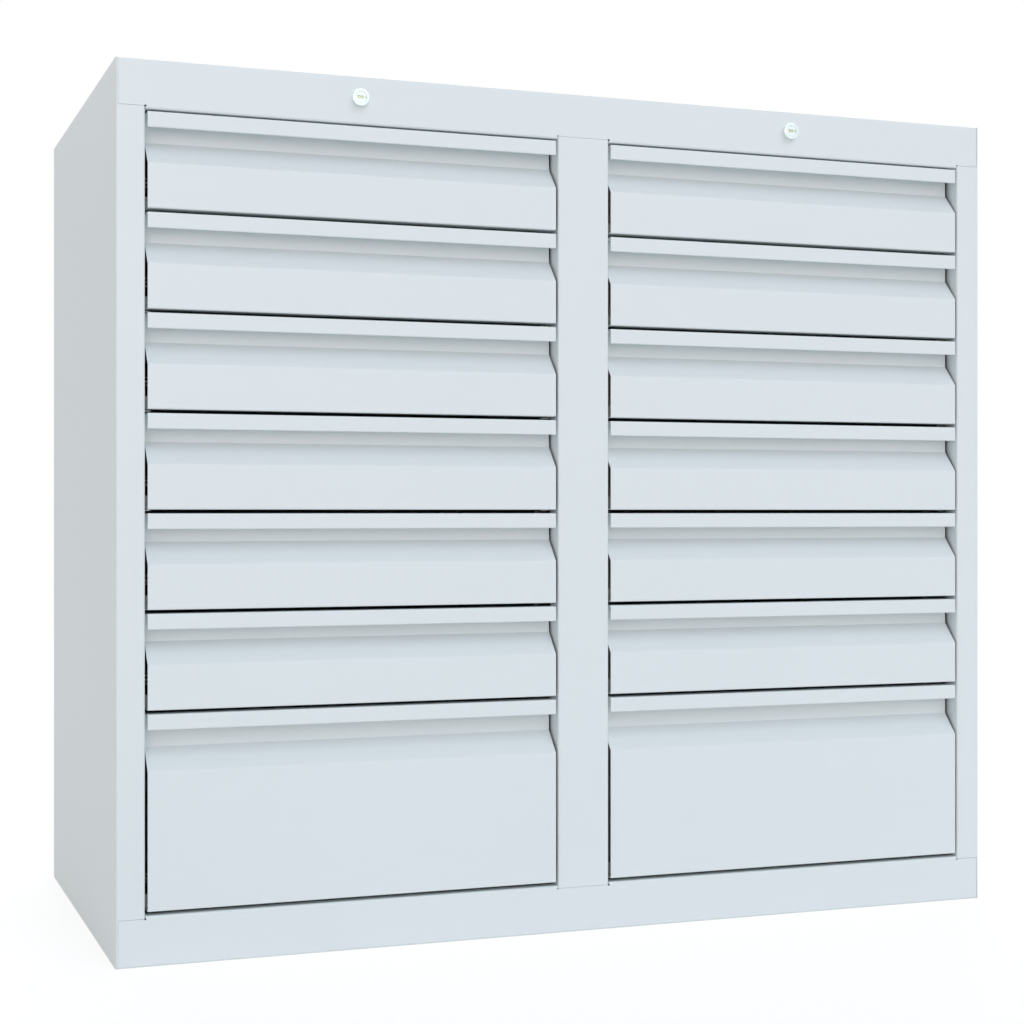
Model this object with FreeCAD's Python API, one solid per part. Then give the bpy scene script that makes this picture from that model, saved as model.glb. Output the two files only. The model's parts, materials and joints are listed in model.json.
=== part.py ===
import FreeCAD, Part
import math
import os

# A free-standing steel cabinet for microscope slides: two columns of drawers between a
# header and a plinth, each column with a cam lock that drops a bar behind the mullion.
# Millimetres. +X runs to the right across the front, +Y to the back, +Z up.
# The origin is the middle of the base.

Vector = FreeCAD.Vector

# Casing
width = 1000.0
depth = 500.0
height = 900.0
casing_sheet = 1.5
casing_bend = 1.0
stile_width = 29.2
stile_return = 25.0
mullion_width = 59.0
mullion_depth = 26.5
header_height = 49.0
plinth_height = 50.5
fascia_return = 15.0
pan_flange = 20.0
rear_flange = 20.0
bend_notch = 2.6
seam = 0.3
relief_radius = 1.0
partition_sheet = 1.2
partition_flange = 18.0
partition_gap = 2.2
back_screw_count = 6
back_screw_inset = 60.0

# Drawer rows
shallow_rows = 6
deep_row_pitches = 2
top_gap = 2.0
row_gap = 3.8
side_gap = 2.5

# Drawer fronts
front_sheet = 1.2
front_bend = 0.8
lip_height = 15.75
lip_hem = 6.0
hem_gap = 0.2
grip_depth = 20.4
grip_wall = 28.3
grip_slope = 22.7
deep_grip_extra = 6.0
front_upturn = 14.0

# Drawer trays
tray_sheet = 1.0
tray_bend = 1.0
tray_rear_gap = 13.9
tray_lift = 5.5
rim_drop = 14.8
rim_hem = 8.0
divider_sheet = 1.0
divider_height = 30.0
divider_count = 4

# Three-member drawer slides
slide_height = 35.0
slide_thickness = 12.7
slide_end_gap = 5.6
slide_setback = 26.0
slide_lift = 20.0
slide_sheet = 1.2
slide_bend = 0.8
race = 3.0
race_play = 0.3
web_gap = 0.8
outer_reach = 9.6
middle_reach = 10.6
inner_start = 4.6
cage_width = 4.0
cage_inset = 12.0
cage_spare = 13.0
slide_screw_inset = 60.0

# Uprights that carry the slides
upright_width = 30.0
upright_lip = 12.0
upright_setback = 70.0

# Cam locks
lock_drop = 22.3
lock_head_radius = 9.0
lock_head_proud = 6.0
lock_head_round = 0.8
lock_body_radius = 8.0
lock_body_length = 20.7
lock_hole_play = 0.1
lock_nut_across = 22.0
lock_nut_height = 5.0
plug_radius = 6.2
plug_play = 0.05
plug_tail_radius = 4.0
plug_face_drop = 0.3
keyway_left = 4.4
keyway_right = 5.4
keyway_height = 1.8
keyway_step = 2.2
keyway_step_height = 3.0
keyway_depth = 16.0
cam_thickness = 3.0
cam_hub_radius = 7.0
cam_pin_radius = 2.5
cam_pin_land = 2.5
cam_throw = 8.0
cam_start = 45.0
cam_turn = 90.0
cam_screw_radius = 3.5
cam_screw_height = 2.4
cam_play = 0.3

# Locking bars behind the mullion
bar_thickness = 3.0
bar_width = 19.0
bar_edge_inset = 1.5
bar_play = 0.4
bar_tail = 16.0
arm_height = 20.0
arm_end = 7.0
slot_play = 0.7
lug_height = 10.0
lug_reach = 9.0
lug_lift = 66.5
catch_play = 0.5
catch_reach = 9.2
catch_height = 10.0
catch_sheet = 2.0
catch_foot = 20.0
catch_drop = 1.5
keeper_sheet = 1.5
keeper_bend = 0.5
keeper_height = 20.0
keeper_count = 4

# Small screws
screw_radius = 1.9
screw_hole_play = 0.1
screw_head_radius = 3.6
screw_head_height = 1.4
screw_length = 5.0

# Places worked out from the sizes above
front_y = -depth / 2
back_y = depth / 2
inner_half = width / 2 - casing_sheet
opening_outer = width / 2 - stile_width
opening_inner = mullion_width / 2
opening_width = opening_outer - opening_inner
opening_foot = plinth_height
pitch = (height - header_height - plinth_height - top_gap) / (shallow_rows + deep_row_pitches)
back_panel_y = back_y - 2 * casing_sheet
front_back_y = front_y + grip_depth + front_sheet
tray_front_y = front_back_y + tray_sheet
tray_rear_y = back_panel_y - casing_sheet - tray_rear_gap
tray_back_y = tray_rear_y - tray_sheet
slide_front_y = front_y + slide_setback
slide_length = tray_rear_y - slide_end_gap - slide_front_y
cage_length = slide_length / 2 - cage_inset - cage_spare
lock_x = (opening_inner + opening_outer) / 2
lock_z = height - lock_drop
cam_y = front_y + lock_body_length + cam_play
mullion_back_y = front_y + mullion_depth
bar_y = mullion_back_y + bar_play
bar_outer_x = opening_inner - bar_edge_inset
bar_inner_x = bar_outer_x - bar_width
keeper_wing_y = bar_y + bar_thickness + bar_play
partition_y = keeper_wing_y + keeper_sheet + partition_gap
arm_z = lock_z + cam_throw * math.sin(math.radians(cam_start))


# --- Sheet metal helpers -------------------------------------------------------------------

def direction(a, b):
    """Unit direction from a to b in a flat section."""
    length = math.hypot(b[0] - a[0], b[1] - a[1])
    return ((b[0] - a[0]) / length, (b[1] - a[1]) / length)


def shifted(point, along, distance):
    return (point[0] + along[0] * distance, point[1] + along[1] * distance)


def left_of(along):
    return (-along[1], along[0])


def beside(points, distance):
    """The polyline that runs beside another one, a distance to its left."""
    result = []
    for i, point in enumerate(points):
        before = direction(points[i - 1], point) if i > 0 else None
        after = direction(point, points[i + 1]) if i < len(points) - 1 else None
        if before is None or after is None:
            result.append(shifted(point, left_of(before or after), distance))
            continue
        one, two = left_of(before), left_of(after)
        share = distance / (1 + one[0] * two[0] + one[1] * two[1])
        result.append((point[0] + (one[0] + two[0]) * share, point[1] + (one[1] + two[1]) * share))
    return result


def bend_at(before, corner, after, radius):
    """Centre, tangent points, middle and turn of the bend at a corner of the centre line."""
    come = direction(before, corner)
    go = direction(corner, after)
    turn = math.atan2(come[0] * go[1] - come[1] * go[0], come[0] * go[0] + come[1] * go[1])
    side = math.copysign(1.0, turn)
    trim = radius * math.tan(abs(turn) / 2)
    start = shifted(corner, come, -trim)
    end = shifted(corner, go, trim)
    centre = shifted(start, left_of(come), side * radius)
    middle = shifted(centre, direction(centre, corner), radius)
    return {"centre": centre, "start": start, "end": end, "middle": middle, "side": side}


def face_of_sheet(points, bends, radii, offset):
    """One face of a folded sheet: points, with each bend given as a start, middle and end."""
    run = [shifted(points[0], left_of(direction(points[0], points[1])), offset)]
    pieces = []
    for bend, radius in zip(bends, radii):
        scale = (radius - bend["side"] * offset) / radius
        arc = []
        for key in ("start", "middle", "end"):
            spot = bend[key]
            centre = bend["centre"]
            arc.append((centre[0] + (spot[0] - centre[0]) * scale,
                        centre[1] + (spot[1] - centre[1]) * scale))
        pieces.append((run[-1], arc))
        run.append(arc[2])
    last = shifted(points[-1], left_of(direction(points[-2], points[-1])), offset)
    return pieces, run[-1], last


def folded(points, sheet, radii, place, sweep):
    """A folded sheet from its centre line: the section, rounded at each bend, swept straight."""
    if not isinstance(radii, list):
        radii = [radii] * (len(points) - 2)
    bends = [bend_at(points[i], points[i + 1], points[i + 2], radii[i]) for i in range(len(radii))]
    edges = []
    corners = []
    for offset in (sheet / 2, -sheet / 2):
        pieces, tail, last = face_of_sheet(points, bends, radii, offset)
        for begin, arc in pieces:
            add_line(edges, place(*begin), place(*arc[0]))
            edges.append(Part.Arc(place(*arc[0]), place(*arc[1]), place(*arc[2])).toShape())
        add_line(edges, place(*tail), place(*last))
        first = pieces[0][0] if pieces else tail
        corners.append((place(*first), place(*last)))
    add_line(edges, corners[0][0], corners[1][0])
    add_line(edges, corners[0][1], corners[1][1])
    outline = Part.Wire(Part.__sortEdges__(edges))
    return Part.Face(outline).extrude(sweep)


def add_line(edges, start, end):
    if start.distanceToPoint(end) > 1e-6:
        edges.append(Part.LineSegment(start, end).toShape())


def box(x_span, y_span, z_span):
    corner = Vector(x_span[0], y_span[0], z_span[0])
    sides = (x_span[1] - x_span[0], y_span[1] - y_span[0], z_span[1] - z_span[0])
    return Part.makeBox(sides[0], sides[1], sides[2], corner)


def rod(x, z, y_start, y_end, radius):
    """A round bar along +Y."""
    return Part.makeCylinder(radius, y_end - y_start, Vector(x, y_start, z), Vector(0, 1, 0))


def mirrored(shape):
    """The same piece on the other side of the cabinet."""
    return shape.mirror(Vector(0, 0, 0), Vector(1, 0, 0))


def rounded_box(x_span, y_span, z_span, radius):
    solid = box(x_span, y_span, z_span)
    return solid.makeFillet(radius, solid.Edges)


def save(shapes, node):
    if not isinstance(shapes, list):
        shapes = [shapes]
    solids = [solid for shape in shapes for solid in shape.Solids]
    whole = solids[0] if len(solids) == 1 else Part.makeCompound(solids)
    whole.exportStep("parts/" + node + ".step")


# --- Rows and columns ----------------------------------------------------------------------

def rows():
    """Row number, foot, top and extra grip height of each drawer, from the top down."""
    result = []
    for number in range(1, shallow_rows + 1):
        foot = opening_foot + (deep_row_pitches + shallow_rows - number) * pitch
        result.append((number, foot, foot + pitch, 0.0))
    result.append((shallow_rows + 1, opening_foot, opening_foot + deep_row_pitches * pitch, deep_grip_extra))
    return result


# --- Casing --------------------------------------------------------------------------------

def side_panel():
    """The left side: outer web, front stile with its return, and a rear flange, in one sheet."""
    half = casing_sheet / 2
    radius = casing_bend + half
    stile_x = -opening_outer
    outer_x = -width / 2
    points = [
        (stile_x - half, front_y + stile_return),
        (stile_x - half, front_y + half),
        (outer_x + half, front_y + half),
        (outer_x + half, back_y - half),
        (outer_x + rear_flange, back_y - half),
    ]
    panel = folded(points, casing_sheet, radius, lambda u, v: Vector(u, v, 0), Vector(0, 0, height))
    stile_foot = plinth_height - bend_notch
    stile_top = height - header_height + bend_notch
    reach = (outer_x + casing_sheet, stile_x + 1)
    for z_span in ((-1, stile_foot), (stile_top, height + 1)):
        panel = panel.cut(box(reach, (front_y - 1, front_y + stile_return + 1), z_span))
    return panel


def fascia_pan(fascia_height, at_top):
    """Top or bottom of the casing: a shallow pan whose front wall is the header or plinth."""
    outer_radius = casing_bend + casing_sheet
    z_low = height - fascia_height if at_top else 0
    z_high = height if at_top else fascia_height
    x_span = (-inner_half, inner_half)
    y_span = (front_y, back_panel_y)
    shell = rounded_box(x_span, y_span, (z_low, z_high), outer_radius)
    inside = rounded_box((x_span[0] + casing_sheet, x_span[1] - casing_sheet),
                         (y_span[0] + casing_sheet, y_span[1] - casing_sheet),
                         (z_low + casing_sheet, z_high - casing_sheet), casing_bend)
    pan = shell.cut(inside)
    open_side = (z_low - 1, z_high - pan_flange) if at_top else (z_low + pan_flange, z_high + 1)
    pan = pan.cut(box((-width, width), (front_y + fascia_return, back_y + 1), open_side))
    inner_edge = z_low if at_top else z_high
    outward = 1 if at_top else -1
    notch = bend_notch + seam
    notch_z = sorted((inner_edge - outward, inner_edge + outward * notch))
    notch_y = (front_y - 1, front_y + fascia_return + 1)
    reaches = [(-width, -opening_outer + seam), (-opening_inner - seam, opening_inner + seam),
               (opening_outer - seam, width)]
    for reach in reaches:
        pan = pan.cut(box(reach, notch_y, notch_z))
    for x in (reaches[0][1], reaches[1][0], reaches[1][1], reaches[2][0]):
        relief_z = inner_edge + outward * notch
        pan = pan.cut(rod(x, relief_z, front_y - 1, front_y + 2 * casing_sheet, relief_radius))
    screw_z = height - pan_flange / 2 if at_top else pan_flange / 2
    for x in back_screw_places():
        pan = pan.cut(rod(x, screw_z, back_panel_y - 2 * casing_sheet, back_y, screw_radius + screw_hole_play))
    return pan


def top_panel():
    """The top with the header, bored for the two locks."""
    pan = fascia_pan(header_height, True)
    for x in (-lock_x, lock_x):
        hole = lock_body_radius + lock_hole_play
        pan = pan.cut(rod(x, lock_z, front_y - 1, front_y + 2 * casing_sheet, hole))
    return pan


def bottom_panel():
    return fascia_pan(plinth_height, False)


def back_screw_places():
    span = width - 2 * back_screw_inset
    step = span / (back_screw_count - 1)
    return [-span / 2 + i * step for i in range(back_screw_count)]


def back_panel():
    """A flat back between the pans' rear flanges and those of the sides."""
    half = inner_half - casing_bend
    panel = box((-half, half), (back_panel_y, back_panel_y + casing_sheet), (0, height))
    for x in back_screw_places():
        for z in (pan_flange / 2, height - pan_flange / 2):
            hole = rod(x, z, back_panel_y - 1, back_y, screw_radius + screw_hole_play)
            panel = panel.cut(hole)
    return panel


def screw(x, z, y, length):
    """A pan-head screw that goes in along -Y, its head's seat at y."""
    head = rod(x, z, y, y + screw_head_height, screw_head_radius)
    shank = rod(x, z, y - length, y, screw_radius)
    return head.fuse(shank).removeSplitter()


def back_panel_screws():
    seat = back_panel_y + casing_sheet
    return [screw(x, z, seat, screw_length) for x in back_screw_places()
            for z in (pan_flange / 2, height - pan_flange / 2)]


def centre_mullion():
    """A box-section post, its front wall cut away where it stands behind header and plinth."""
    outer_radius = casing_bend + casing_sheet
    z_span = (casing_sheet + casing_bend, height - casing_sheet - casing_bend)
    tube = upright_tube((-opening_inner, opening_inner), (front_y, mullion_back_y), z_span, outer_radius)
    bore = upright_tube((-opening_inner + casing_sheet, opening_inner - casing_sheet),
                        (front_y + casing_sheet, mullion_back_y - casing_sheet), z_span, casing_bend)
    post = tube.cut(bore)
    face_foot = plinth_height - bend_notch
    face_top = height - header_height + bend_notch
    for span in ((0, face_foot), (face_top, height)):
        post = post.cut(box((-width, width), (front_y - 1, front_y + casing_sheet), span))
    for z in keeper_places():
        hole = rod(0, z, mullion_back_y - 2 * casing_sheet, mullion_back_y + 1, screw_radius + screw_hole_play)
        post = post.cut(hole)
    return post


def upright_tube(x_span, y_span, z_span, radius):
    solid = box(x_span, y_span, z_span)
    edges = [edge for edge in solid.Edges if abs(edge.tangentAt(edge.FirstParameter).z) > 0.9]
    return solid.makeFillet(radius, edges)


def centre_partition():
    """A sheet between the two columns, folded at top and bottom to meet the pans."""
    half = partition_sheet / 2
    low = casing_sheet + half
    high = height - casing_sheet - half
    points = [(partition_flange, low), (0, low), (0, high), (partition_flange, high)]
    end = back_panel_y - 2 * casing_sheet
    return folded(points, partition_sheet, casing_bend + half,
                  lambda u, v: Vector(u, partition_y, v), Vector(0, end - partition_y, 0))


def upright(base_x, mount_x, y_start):
    """A hat-section channel from a wall to the plane that the slides are fixed on."""
    half = casing_sheet / 2
    inward = math.copysign(1.0, mount_x - base_x)
    base = base_x + inward * half
    mount = mount_x - inward * half
    y_end = y_start + upright_width
    points = [
        (base, y_start - upright_lip), (base, y_start), (mount, y_start),
        (mount, y_end), (base, y_end), (base, y_end + upright_lip),
    ]
    foot = casing_sheet + pan_flange
    head = height - casing_sheet - pan_flange
    return folded(points, casing_sheet, casing_bend + half,
                  lambda u, v: Vector(u, v, foot), Vector(0, 0, head - foot))


def uprights(base_x, mount_x):
    """Front and rear uprights on both sides of the cabinet."""
    places = (front_y + upright_setback, back_y - upright_setback - upright_width)
    left = [upright(base_x, mount_x, y) for y in places]
    return left + [mirrored(post) for post in left]


# --- Drawer slides -------------------------------------------------------------------------

def slide_mounts(left_column):
    """The two mounting planes of a column, each with the way from it to the drawer."""
    if left_column:
        return ((-opening_outer, 1), (-opening_inner, -1))
    return ((opening_inner, 1), (opening_outer, -1))


def slide_member(points, mount, centre_z):
    """One slide member from its section, given as distance from the mounting plane and height."""
    mount_x, inward = mount
    return folded(points, slide_sheet, slide_bend + slide_sheet / 2,
                  lambda u, v: Vector(mount_x + inward * u, slide_front_y, centre_z + v),
                  Vector(0, slide_length, 0))


def channel(half_height, web, reach):
    """A C section: flange, web, flange."""
    level = half_height - slide_sheet / 2
    return [(reach, level), (web, level), (web, -level), (reach, -level)]


def outer_member(mount, centre_z):
    return slide_member(channel(slide_height / 2, slide_sheet / 2, outer_reach), mount, centre_z)


def middle_half_height():
    return slide_height / 2 - slide_sheet - race


def inner_half_height():
    return middle_half_height() - slide_sheet - race


def middle_member(mount, centre_z):
    """The middle member with the ball cages that run in the outer and inner races."""
    web = slide_sheet + web_gap + slide_sheet / 2
    pieces = [slide_member(channel(middle_half_height(), web, middle_reach), mount, centre_z)]
    rear_end = slide_front_y + slide_length - cage_inset
    rear = (rear_end - cage_length, rear_end)
    front = (slide_front_y + cage_inset, slide_front_y + cage_inset + cage_length)
    outer_level = middle_half_height()
    inner_level = middle_half_height() - slide_sheet
    outer_middle = (slide_sheet + outer_reach) / 2
    inner_middle = (inner_start + middle_reach) / 2
    for up in (1, -1):
        outer_z = sorted((centre_z + up * outer_level, centre_z + up * (outer_level + race - race_play)))
        inner_z = sorted((centre_z + up * inner_level, centre_z + up * (inner_level - race + race_play)))
        pieces.append(box(cage_span(mount, outer_middle), rear, outer_z))
        pieces.append(box(cage_span(mount, inner_middle), front, inner_z))
    return pieces


def cage_span(mount, middle):
    mount_x, inward = mount
    return sorted((mount_x + inward * (middle - cage_width / 2), mount_x + inward * (middle + cage_width / 2)))


def inner_member(mount, centre_z):
    web = slide_thickness - slide_sheet / 2
    member = slide_member(channel(inner_half_height(), web, inner_start), mount, centre_z)
    for y in slide_screw_places():
        member = member.cut(side_hole(mount, y, centre_z))
    return member


def slide_screw_places():
    return (slide_front_y + slide_screw_inset, slide_front_y + slide_length - slide_screw_inset)


def side_hole(mount, y, z):
    """A hole along X through the inner member's web and the tray's side."""
    mount_x, inward = mount
    start = mount_x + inward * (slide_thickness - 2 * slide_sheet)
    return Part.makeCylinder(screw_radius + screw_hole_play, 2 * slide_sheet + 2 * tray_sheet,
                             Vector(start, y, z), Vector(inward, 0, 0))


def side_screw(mount, y, z):
    """A screw from inside the tray into the inner member's web."""
    mount_x, inward = mount
    seat = mount_x + inward * (slide_thickness + tray_sheet)
    head = Part.makeCylinder(screw_head_radius, screw_head_height, Vector(seat, y, z), Vector(inward, 0, 0))
    shank = Part.makeCylinder(screw_radius, tray_sheet + slide_sheet, Vector(seat, y, z), Vector(-inward, 0, 0))
    return head.fuse(shank).removeSplitter()


# --- Drawers -------------------------------------------------------------------------------

def front_outline(foot, top, grip_extra):
    """The faces of a front that are seen: grip wall, slope and face, then its under side."""
    fold = top - grip_wall - grip_extra
    back = grip_depth + front_sheet
    return [
        (grip_depth, top),
        (grip_depth, fold),
        (0, fold - grip_slope),
        (0, foot + row_gap),
        (back, foot + row_gap),
        (back, foot + row_gap + front_upturn),
    ]


def drawer_front(left_column, foot, top, grip_extra):
    """A front folded from one sheet: hemmed lip, top, grip wall, slope, face and under side."""
    half = front_sheet / 2
    hem_leg = front_sheet + hem_gap
    lip_foot = top - lip_height + half
    x_start = slide_mounts(left_column)[0][0] + side_gap
    front_width = opening_width - 2 * side_gap
    core = beside(front_outline(foot, top, grip_extra), half)
    points = [
        (half + hem_leg, lip_foot + lip_hem),
        (half + hem_leg, lip_foot),
        (half, lip_foot),
        (half, top - half),
        (core[0][0], top - half),
    ] + core[1:]
    bend = front_bend + half
    radii = [hem_leg / 2, hem_leg / 2] + [bend] * (len(points) - 4)
    front = folded(points, front_sheet, radii,
                   lambda u, v: Vector(x_start, front_y + u, v), Vector(front_width, 0, 0))
    for x in (x_start, x_start + front_width - front_sheet):
        corners = [Vector(x, front_y + u, v) for u, v in core[1:5]]
        cap = Part.Face(Part.makePolygon(corners + corners[:1])).extrude(Vector(front_sheet, 0, 0))
        front = front.fuse(cap)
    return front.removeSplitter()


def tray_body(x_left, x_right, low, rim):
    """Base and sides of a tray folded from one sheet, with hemmed rims."""
    half = tray_sheet / 2
    leg = tray_sheet + hem_gap
    left = x_left + half
    right = x_right - half
    top = rim - half
    points = [
        (left + leg, top - rim_hem), (left + leg, top), (left, top), (left, low + half),
        (right, low + half), (right, top), (right - leg, top), (right - leg, top - rim_hem),
    ]
    bend = tray_bend + half
    radii = [leg / 2, leg / 2, bend, bend, leg / 2, leg / 2]
    return folded(points, tray_sheet, radii, lambda u, v: Vector(u, tray_front_y, v),
                  Vector(0, tray_back_y - tray_front_y, 0))


def tray_dividers(x_left, x_right, low):
    """Low walls from front to back that make a lane for each row of slides."""
    floor = low + tray_sheet
    step = (x_right - x_left) / (divider_count + 1)
    walls = []
    for i in range(1, divider_count + 1):
        x = x_left + i * step
        span = (x - divider_sheet / 2, x + divider_sheet / 2)
        walls.append(box(span, (tray_front_y, tray_back_y), (floor, floor + divider_height)))
    return walls


def lock_side(left_column):
    """The mounting plane beside the mullion, where the locking bar is."""
    return slide_mounts(left_column)[1 if left_column else 0]


def lug_foot(foot):
    """Lowest level of a locking lug while the bar is up."""
    return foot + lug_lift


def lock_catch(left_column, foot):
    """An angle on the tray's side, just behind the plane of the locking lugs."""
    mount_x, inward = lock_side(left_column)
    side_x = mount_x + inward * slide_thickness
    top = lug_foot(foot) - catch_drop
    z_span = (top - catch_height, top)
    start = bar_y + bar_thickness + catch_play
    tab_x = sorted((side_x, side_x - inward * catch_reach))
    foot_x = sorted((side_x, side_x - inward * catch_sheet))
    tab = box(tab_x, (start, start + catch_sheet), z_span)
    return tab.fuse(box(foot_x, (start, start + catch_foot), z_span)).removeSplitter()


def drawer_tray(left_column, foot, top, with_lanes):
    """Tray sheets, dividers, lock catch, inner slide members and the screws that hold them."""
    mounts = slide_mounts(left_column)
    x_left = mounts[0][0] + slide_thickness
    x_right = mounts[1][0] - slide_thickness
    low = foot + tray_lift
    rim = top - rim_drop
    centre_z = foot + slide_lift
    body = tray_body(x_left, x_right, low, rim)
    pieces = [
        box((x_left, x_right), (front_back_y, tray_front_y), (low, rim)),
        box((x_left, x_right), (tray_back_y, tray_back_y + tray_sheet), (low, rim)),
    ]
    if with_lanes:
        pieces += tray_dividers(x_left, x_right, low)
    for mount in mounts:
        pieces.append(inner_member(mount, centre_z))
        for y in slide_screw_places():
            body = body.cut(side_hole(mount, y, centre_z))
            pieces.append(side_screw(mount, y, centre_z))
    return [body] + pieces + [lock_catch(left_column, foot)]


# --- Locks ---------------------------------------------------------------------------------

def lock_housing(x):
    """A flanged barrel through the header and the nut behind it."""
    head = rod(x, lock_z, front_y - lock_head_proud, front_y, lock_head_radius)
    rim = [edge for edge in head.Edges if abs(edge.BoundBox.YMax - (front_y - lock_head_proud)) < 1e-6]
    head = head.makeFillet(lock_head_round, [rim[0]])
    barrel = rod(x, lock_z, front_y, front_y + lock_body_length, lock_body_radius)
    bore = rod(x, lock_z, front_y - lock_head_proud - 1, front_y + lock_body_length + 1, plug_radius + plug_play)
    housing = head.fuse(barrel).removeSplitter().cut(bore)
    return [housing, lock_nut(x)]


def lock_nut(x):
    corner = lock_nut_across / 2 / math.cos(math.radians(30))
    seat = front_y + casing_sheet
    points = []
    for i in range(7):
        angle = math.radians(60 * i)
        points.append(Vector(x + corner * math.cos(angle), seat, lock_z + corner * math.sin(angle)))
    nut = Part.Face(Part.makePolygon(points)).extrude(Vector(0, lock_nut_height, 0))
    return nut.cut(rod(x, lock_z, seat - 1, seat + lock_nut_height + 1, lock_body_radius + lock_hole_play))


def lock_plug(x):
    """The turning plug with its keyway, and the cam, pin and screw at its tail."""
    face = front_y - lock_head_proud + plug_face_drop
    plug = rod(x, lock_z, face, cam_y, plug_radius)
    tail = rod(x, lock_z, cam_y, cam_y + cam_thickness, plug_tail_radius)
    keyway = box((x - keyway_left, x + keyway_right), (face - 1, face + keyway_depth),
                 (lock_z - keyway_height / 2, lock_z + keyway_height / 2))
    step = box((x - keyway_left, x + keyway_step), (face - 1, face + keyway_depth),
               (lock_z - keyway_step_height / 2, lock_z + keyway_step_height / 2))
    plug = plug.fuse(tail).removeSplitter().cut(keyway.fuse(step))
    return [plug, lock_cam(x), cam_screw(x)]


def cam_pin_place(x):
    angle = math.radians(cam_start)
    return x + cam_throw * math.cos(angle), lock_z + cam_throw * math.sin(angle)


def lock_cam(x):
    """A lobe on the plug's tail with the pin that works the bar."""
    pin_x, pin_z = cam_pin_place(x)
    lobe_radius = cam_pin_radius + cam_pin_land
    hub = rod(x, lock_z, cam_y, cam_y + cam_thickness, cam_hub_radius)
    lobe = rod(pin_x, pin_z, cam_y, cam_y + cam_thickness, lobe_radius)
    pin = rod(pin_x, pin_z, cam_y + cam_thickness, bar_y + bar_thickness + bar_play, cam_pin_radius)
    hole = rod(x, lock_z, cam_y - 1, cam_y + cam_thickness + 1, plug_tail_radius)
    return hub.fuse(lobe).fuse(pin).removeSplitter().cut(hole)


def cam_screw(x):
    start = cam_y + cam_thickness
    return rod(x, lock_z, start, start + cam_screw_height, cam_screw_radius)


def locking_bar(left_column):
    """A bar behind the mullion, an arm to the lock's pin, and a lug for each drawer."""
    side = -1 if left_column else 1
    y_span = (bar_y, bar_y + bar_thickness)
    arm_foot = arm_z - arm_height / 2
    arm_top = arm_z + arm_height / 2
    foot = lug_foot(opening_foot) - bar_tail
    pieces = [box(sorted((side * bar_inner_x, side * bar_outer_x)), y_span, (foot, arm_top))]
    pieces.append(lock_arm(side, y_span, (arm_foot, arm_top)))
    lug_end = opening_inner + lug_reach
    for _, row_foot, _, _ in rows():
        low = lug_foot(row_foot)
        pieces.append(box(sorted((side * bar_outer_x, side * lug_end)), y_span, (low, low + lug_height)))
    return pieces


def lock_arm(side, y_span, z_span):
    """The flat arm along the header, slotted for the cam's pin."""
    centre = side * lock_x
    near = cam_throw * math.cos(math.radians(cam_turn / 2)) - cam_pin_radius - slot_play
    far = cam_throw + cam_pin_radius + slot_play
    end = centre + far + arm_end if side > 0 else centre + near - arm_end
    arm = box(sorted((side * bar_outer_x, end)), y_span, z_span)
    reach = cam_pin_radius + slot_play
    slot = box((centre + near, centre + far), (y_span[0] - 1, y_span[1] + 1), (arm_z - reach, arm_z + reach))
    return arm.cut(slot)


def keeper_places():
    span = height - header_height - plinth_height
    return [plinth_height + span * (i + 0.5) / keeper_count for i in range(keeper_count)]


def bar_keeper(z):
    """A strap screwed to the mullion whose wings hold both bars against it."""
    half = keeper_sheet / 2
    seat = mullion_back_y + half
    wing = keeper_wing_y + half
    step_x = bar_inner_x - bar_play - half
    end_x = bar_outer_x - half
    points = [(-end_x, wing), (-step_x, wing), (-step_x, seat), (step_x, seat), (step_x, wing), (end_x, wing)]
    strap = folded(points, keeper_sheet, keeper_bend + half,
                   lambda u, v: Vector(u, v, z - keeper_height / 2), Vector(0, 0, keeper_height))
    hole = rod(0, z, mullion_back_y - 1, mullion_back_y + 2 * keeper_sheet, screw_radius + screw_hole_play)
    return [strap.cut(hole), screw(0, z, mullion_back_y + keeper_sheet, screw_length)]


# --- The cabinet ---------------------------------------------------------------------------

def build():
    os.makedirs("parts", exist_ok=True)
    left_side = side_panel()
    save(left_side, "side_panel_left")
    save(mirrored(left_side), "side_panel_right")
    save(top_panel(), "top_panel")
    save(bottom_panel(), "bottom_panel")
    save(back_panel(), "back_panel")
    save(back_panel_screws(), "back_panel_screws")
    save(centre_mullion(), "centre_mullion")
    save(centre_partition(), "centre_partition")
    save(uprights(-inner_half, -opening_outer), "outer_slide_uprights")
    save(uprights(-partition_sheet / 2, -opening_inner), "centre_slide_uprights")
    save([piece for x in (-lock_x, lock_x) for piece in lock_housing(x)], "lock_housings")
    save([piece for z in keeper_places() for piece in bar_keeper(z)], "locking_bar_keepers")
    outer_members = []
    for column, left_column in (("left", True), ("right", False)):
        x = -lock_x if left_column else lock_x
        save(lock_plug(x), "lock_plug_" + column)
        save(locking_bar(left_column), "locking_bar_" + column)
        for number, foot, top, grip_extra in rows():
            name = column + "_" + str(number)
            shallow = number <= shallow_rows
            save(drawer_front(left_column, foot, top, grip_extra), "drawer_front_" + name)
            save(drawer_tray(left_column, foot, top, shallow), "drawer_tray_" + name)
            middles = []
            for mount in slide_mounts(left_column):
                outer_members.append(outer_member(mount, foot + slide_lift))
                middles += middle_member(mount, foot + slide_lift)
            save(middles, "slide_middles_" + name)
    save(outer_members, "slide_outer_members")


build()
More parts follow.
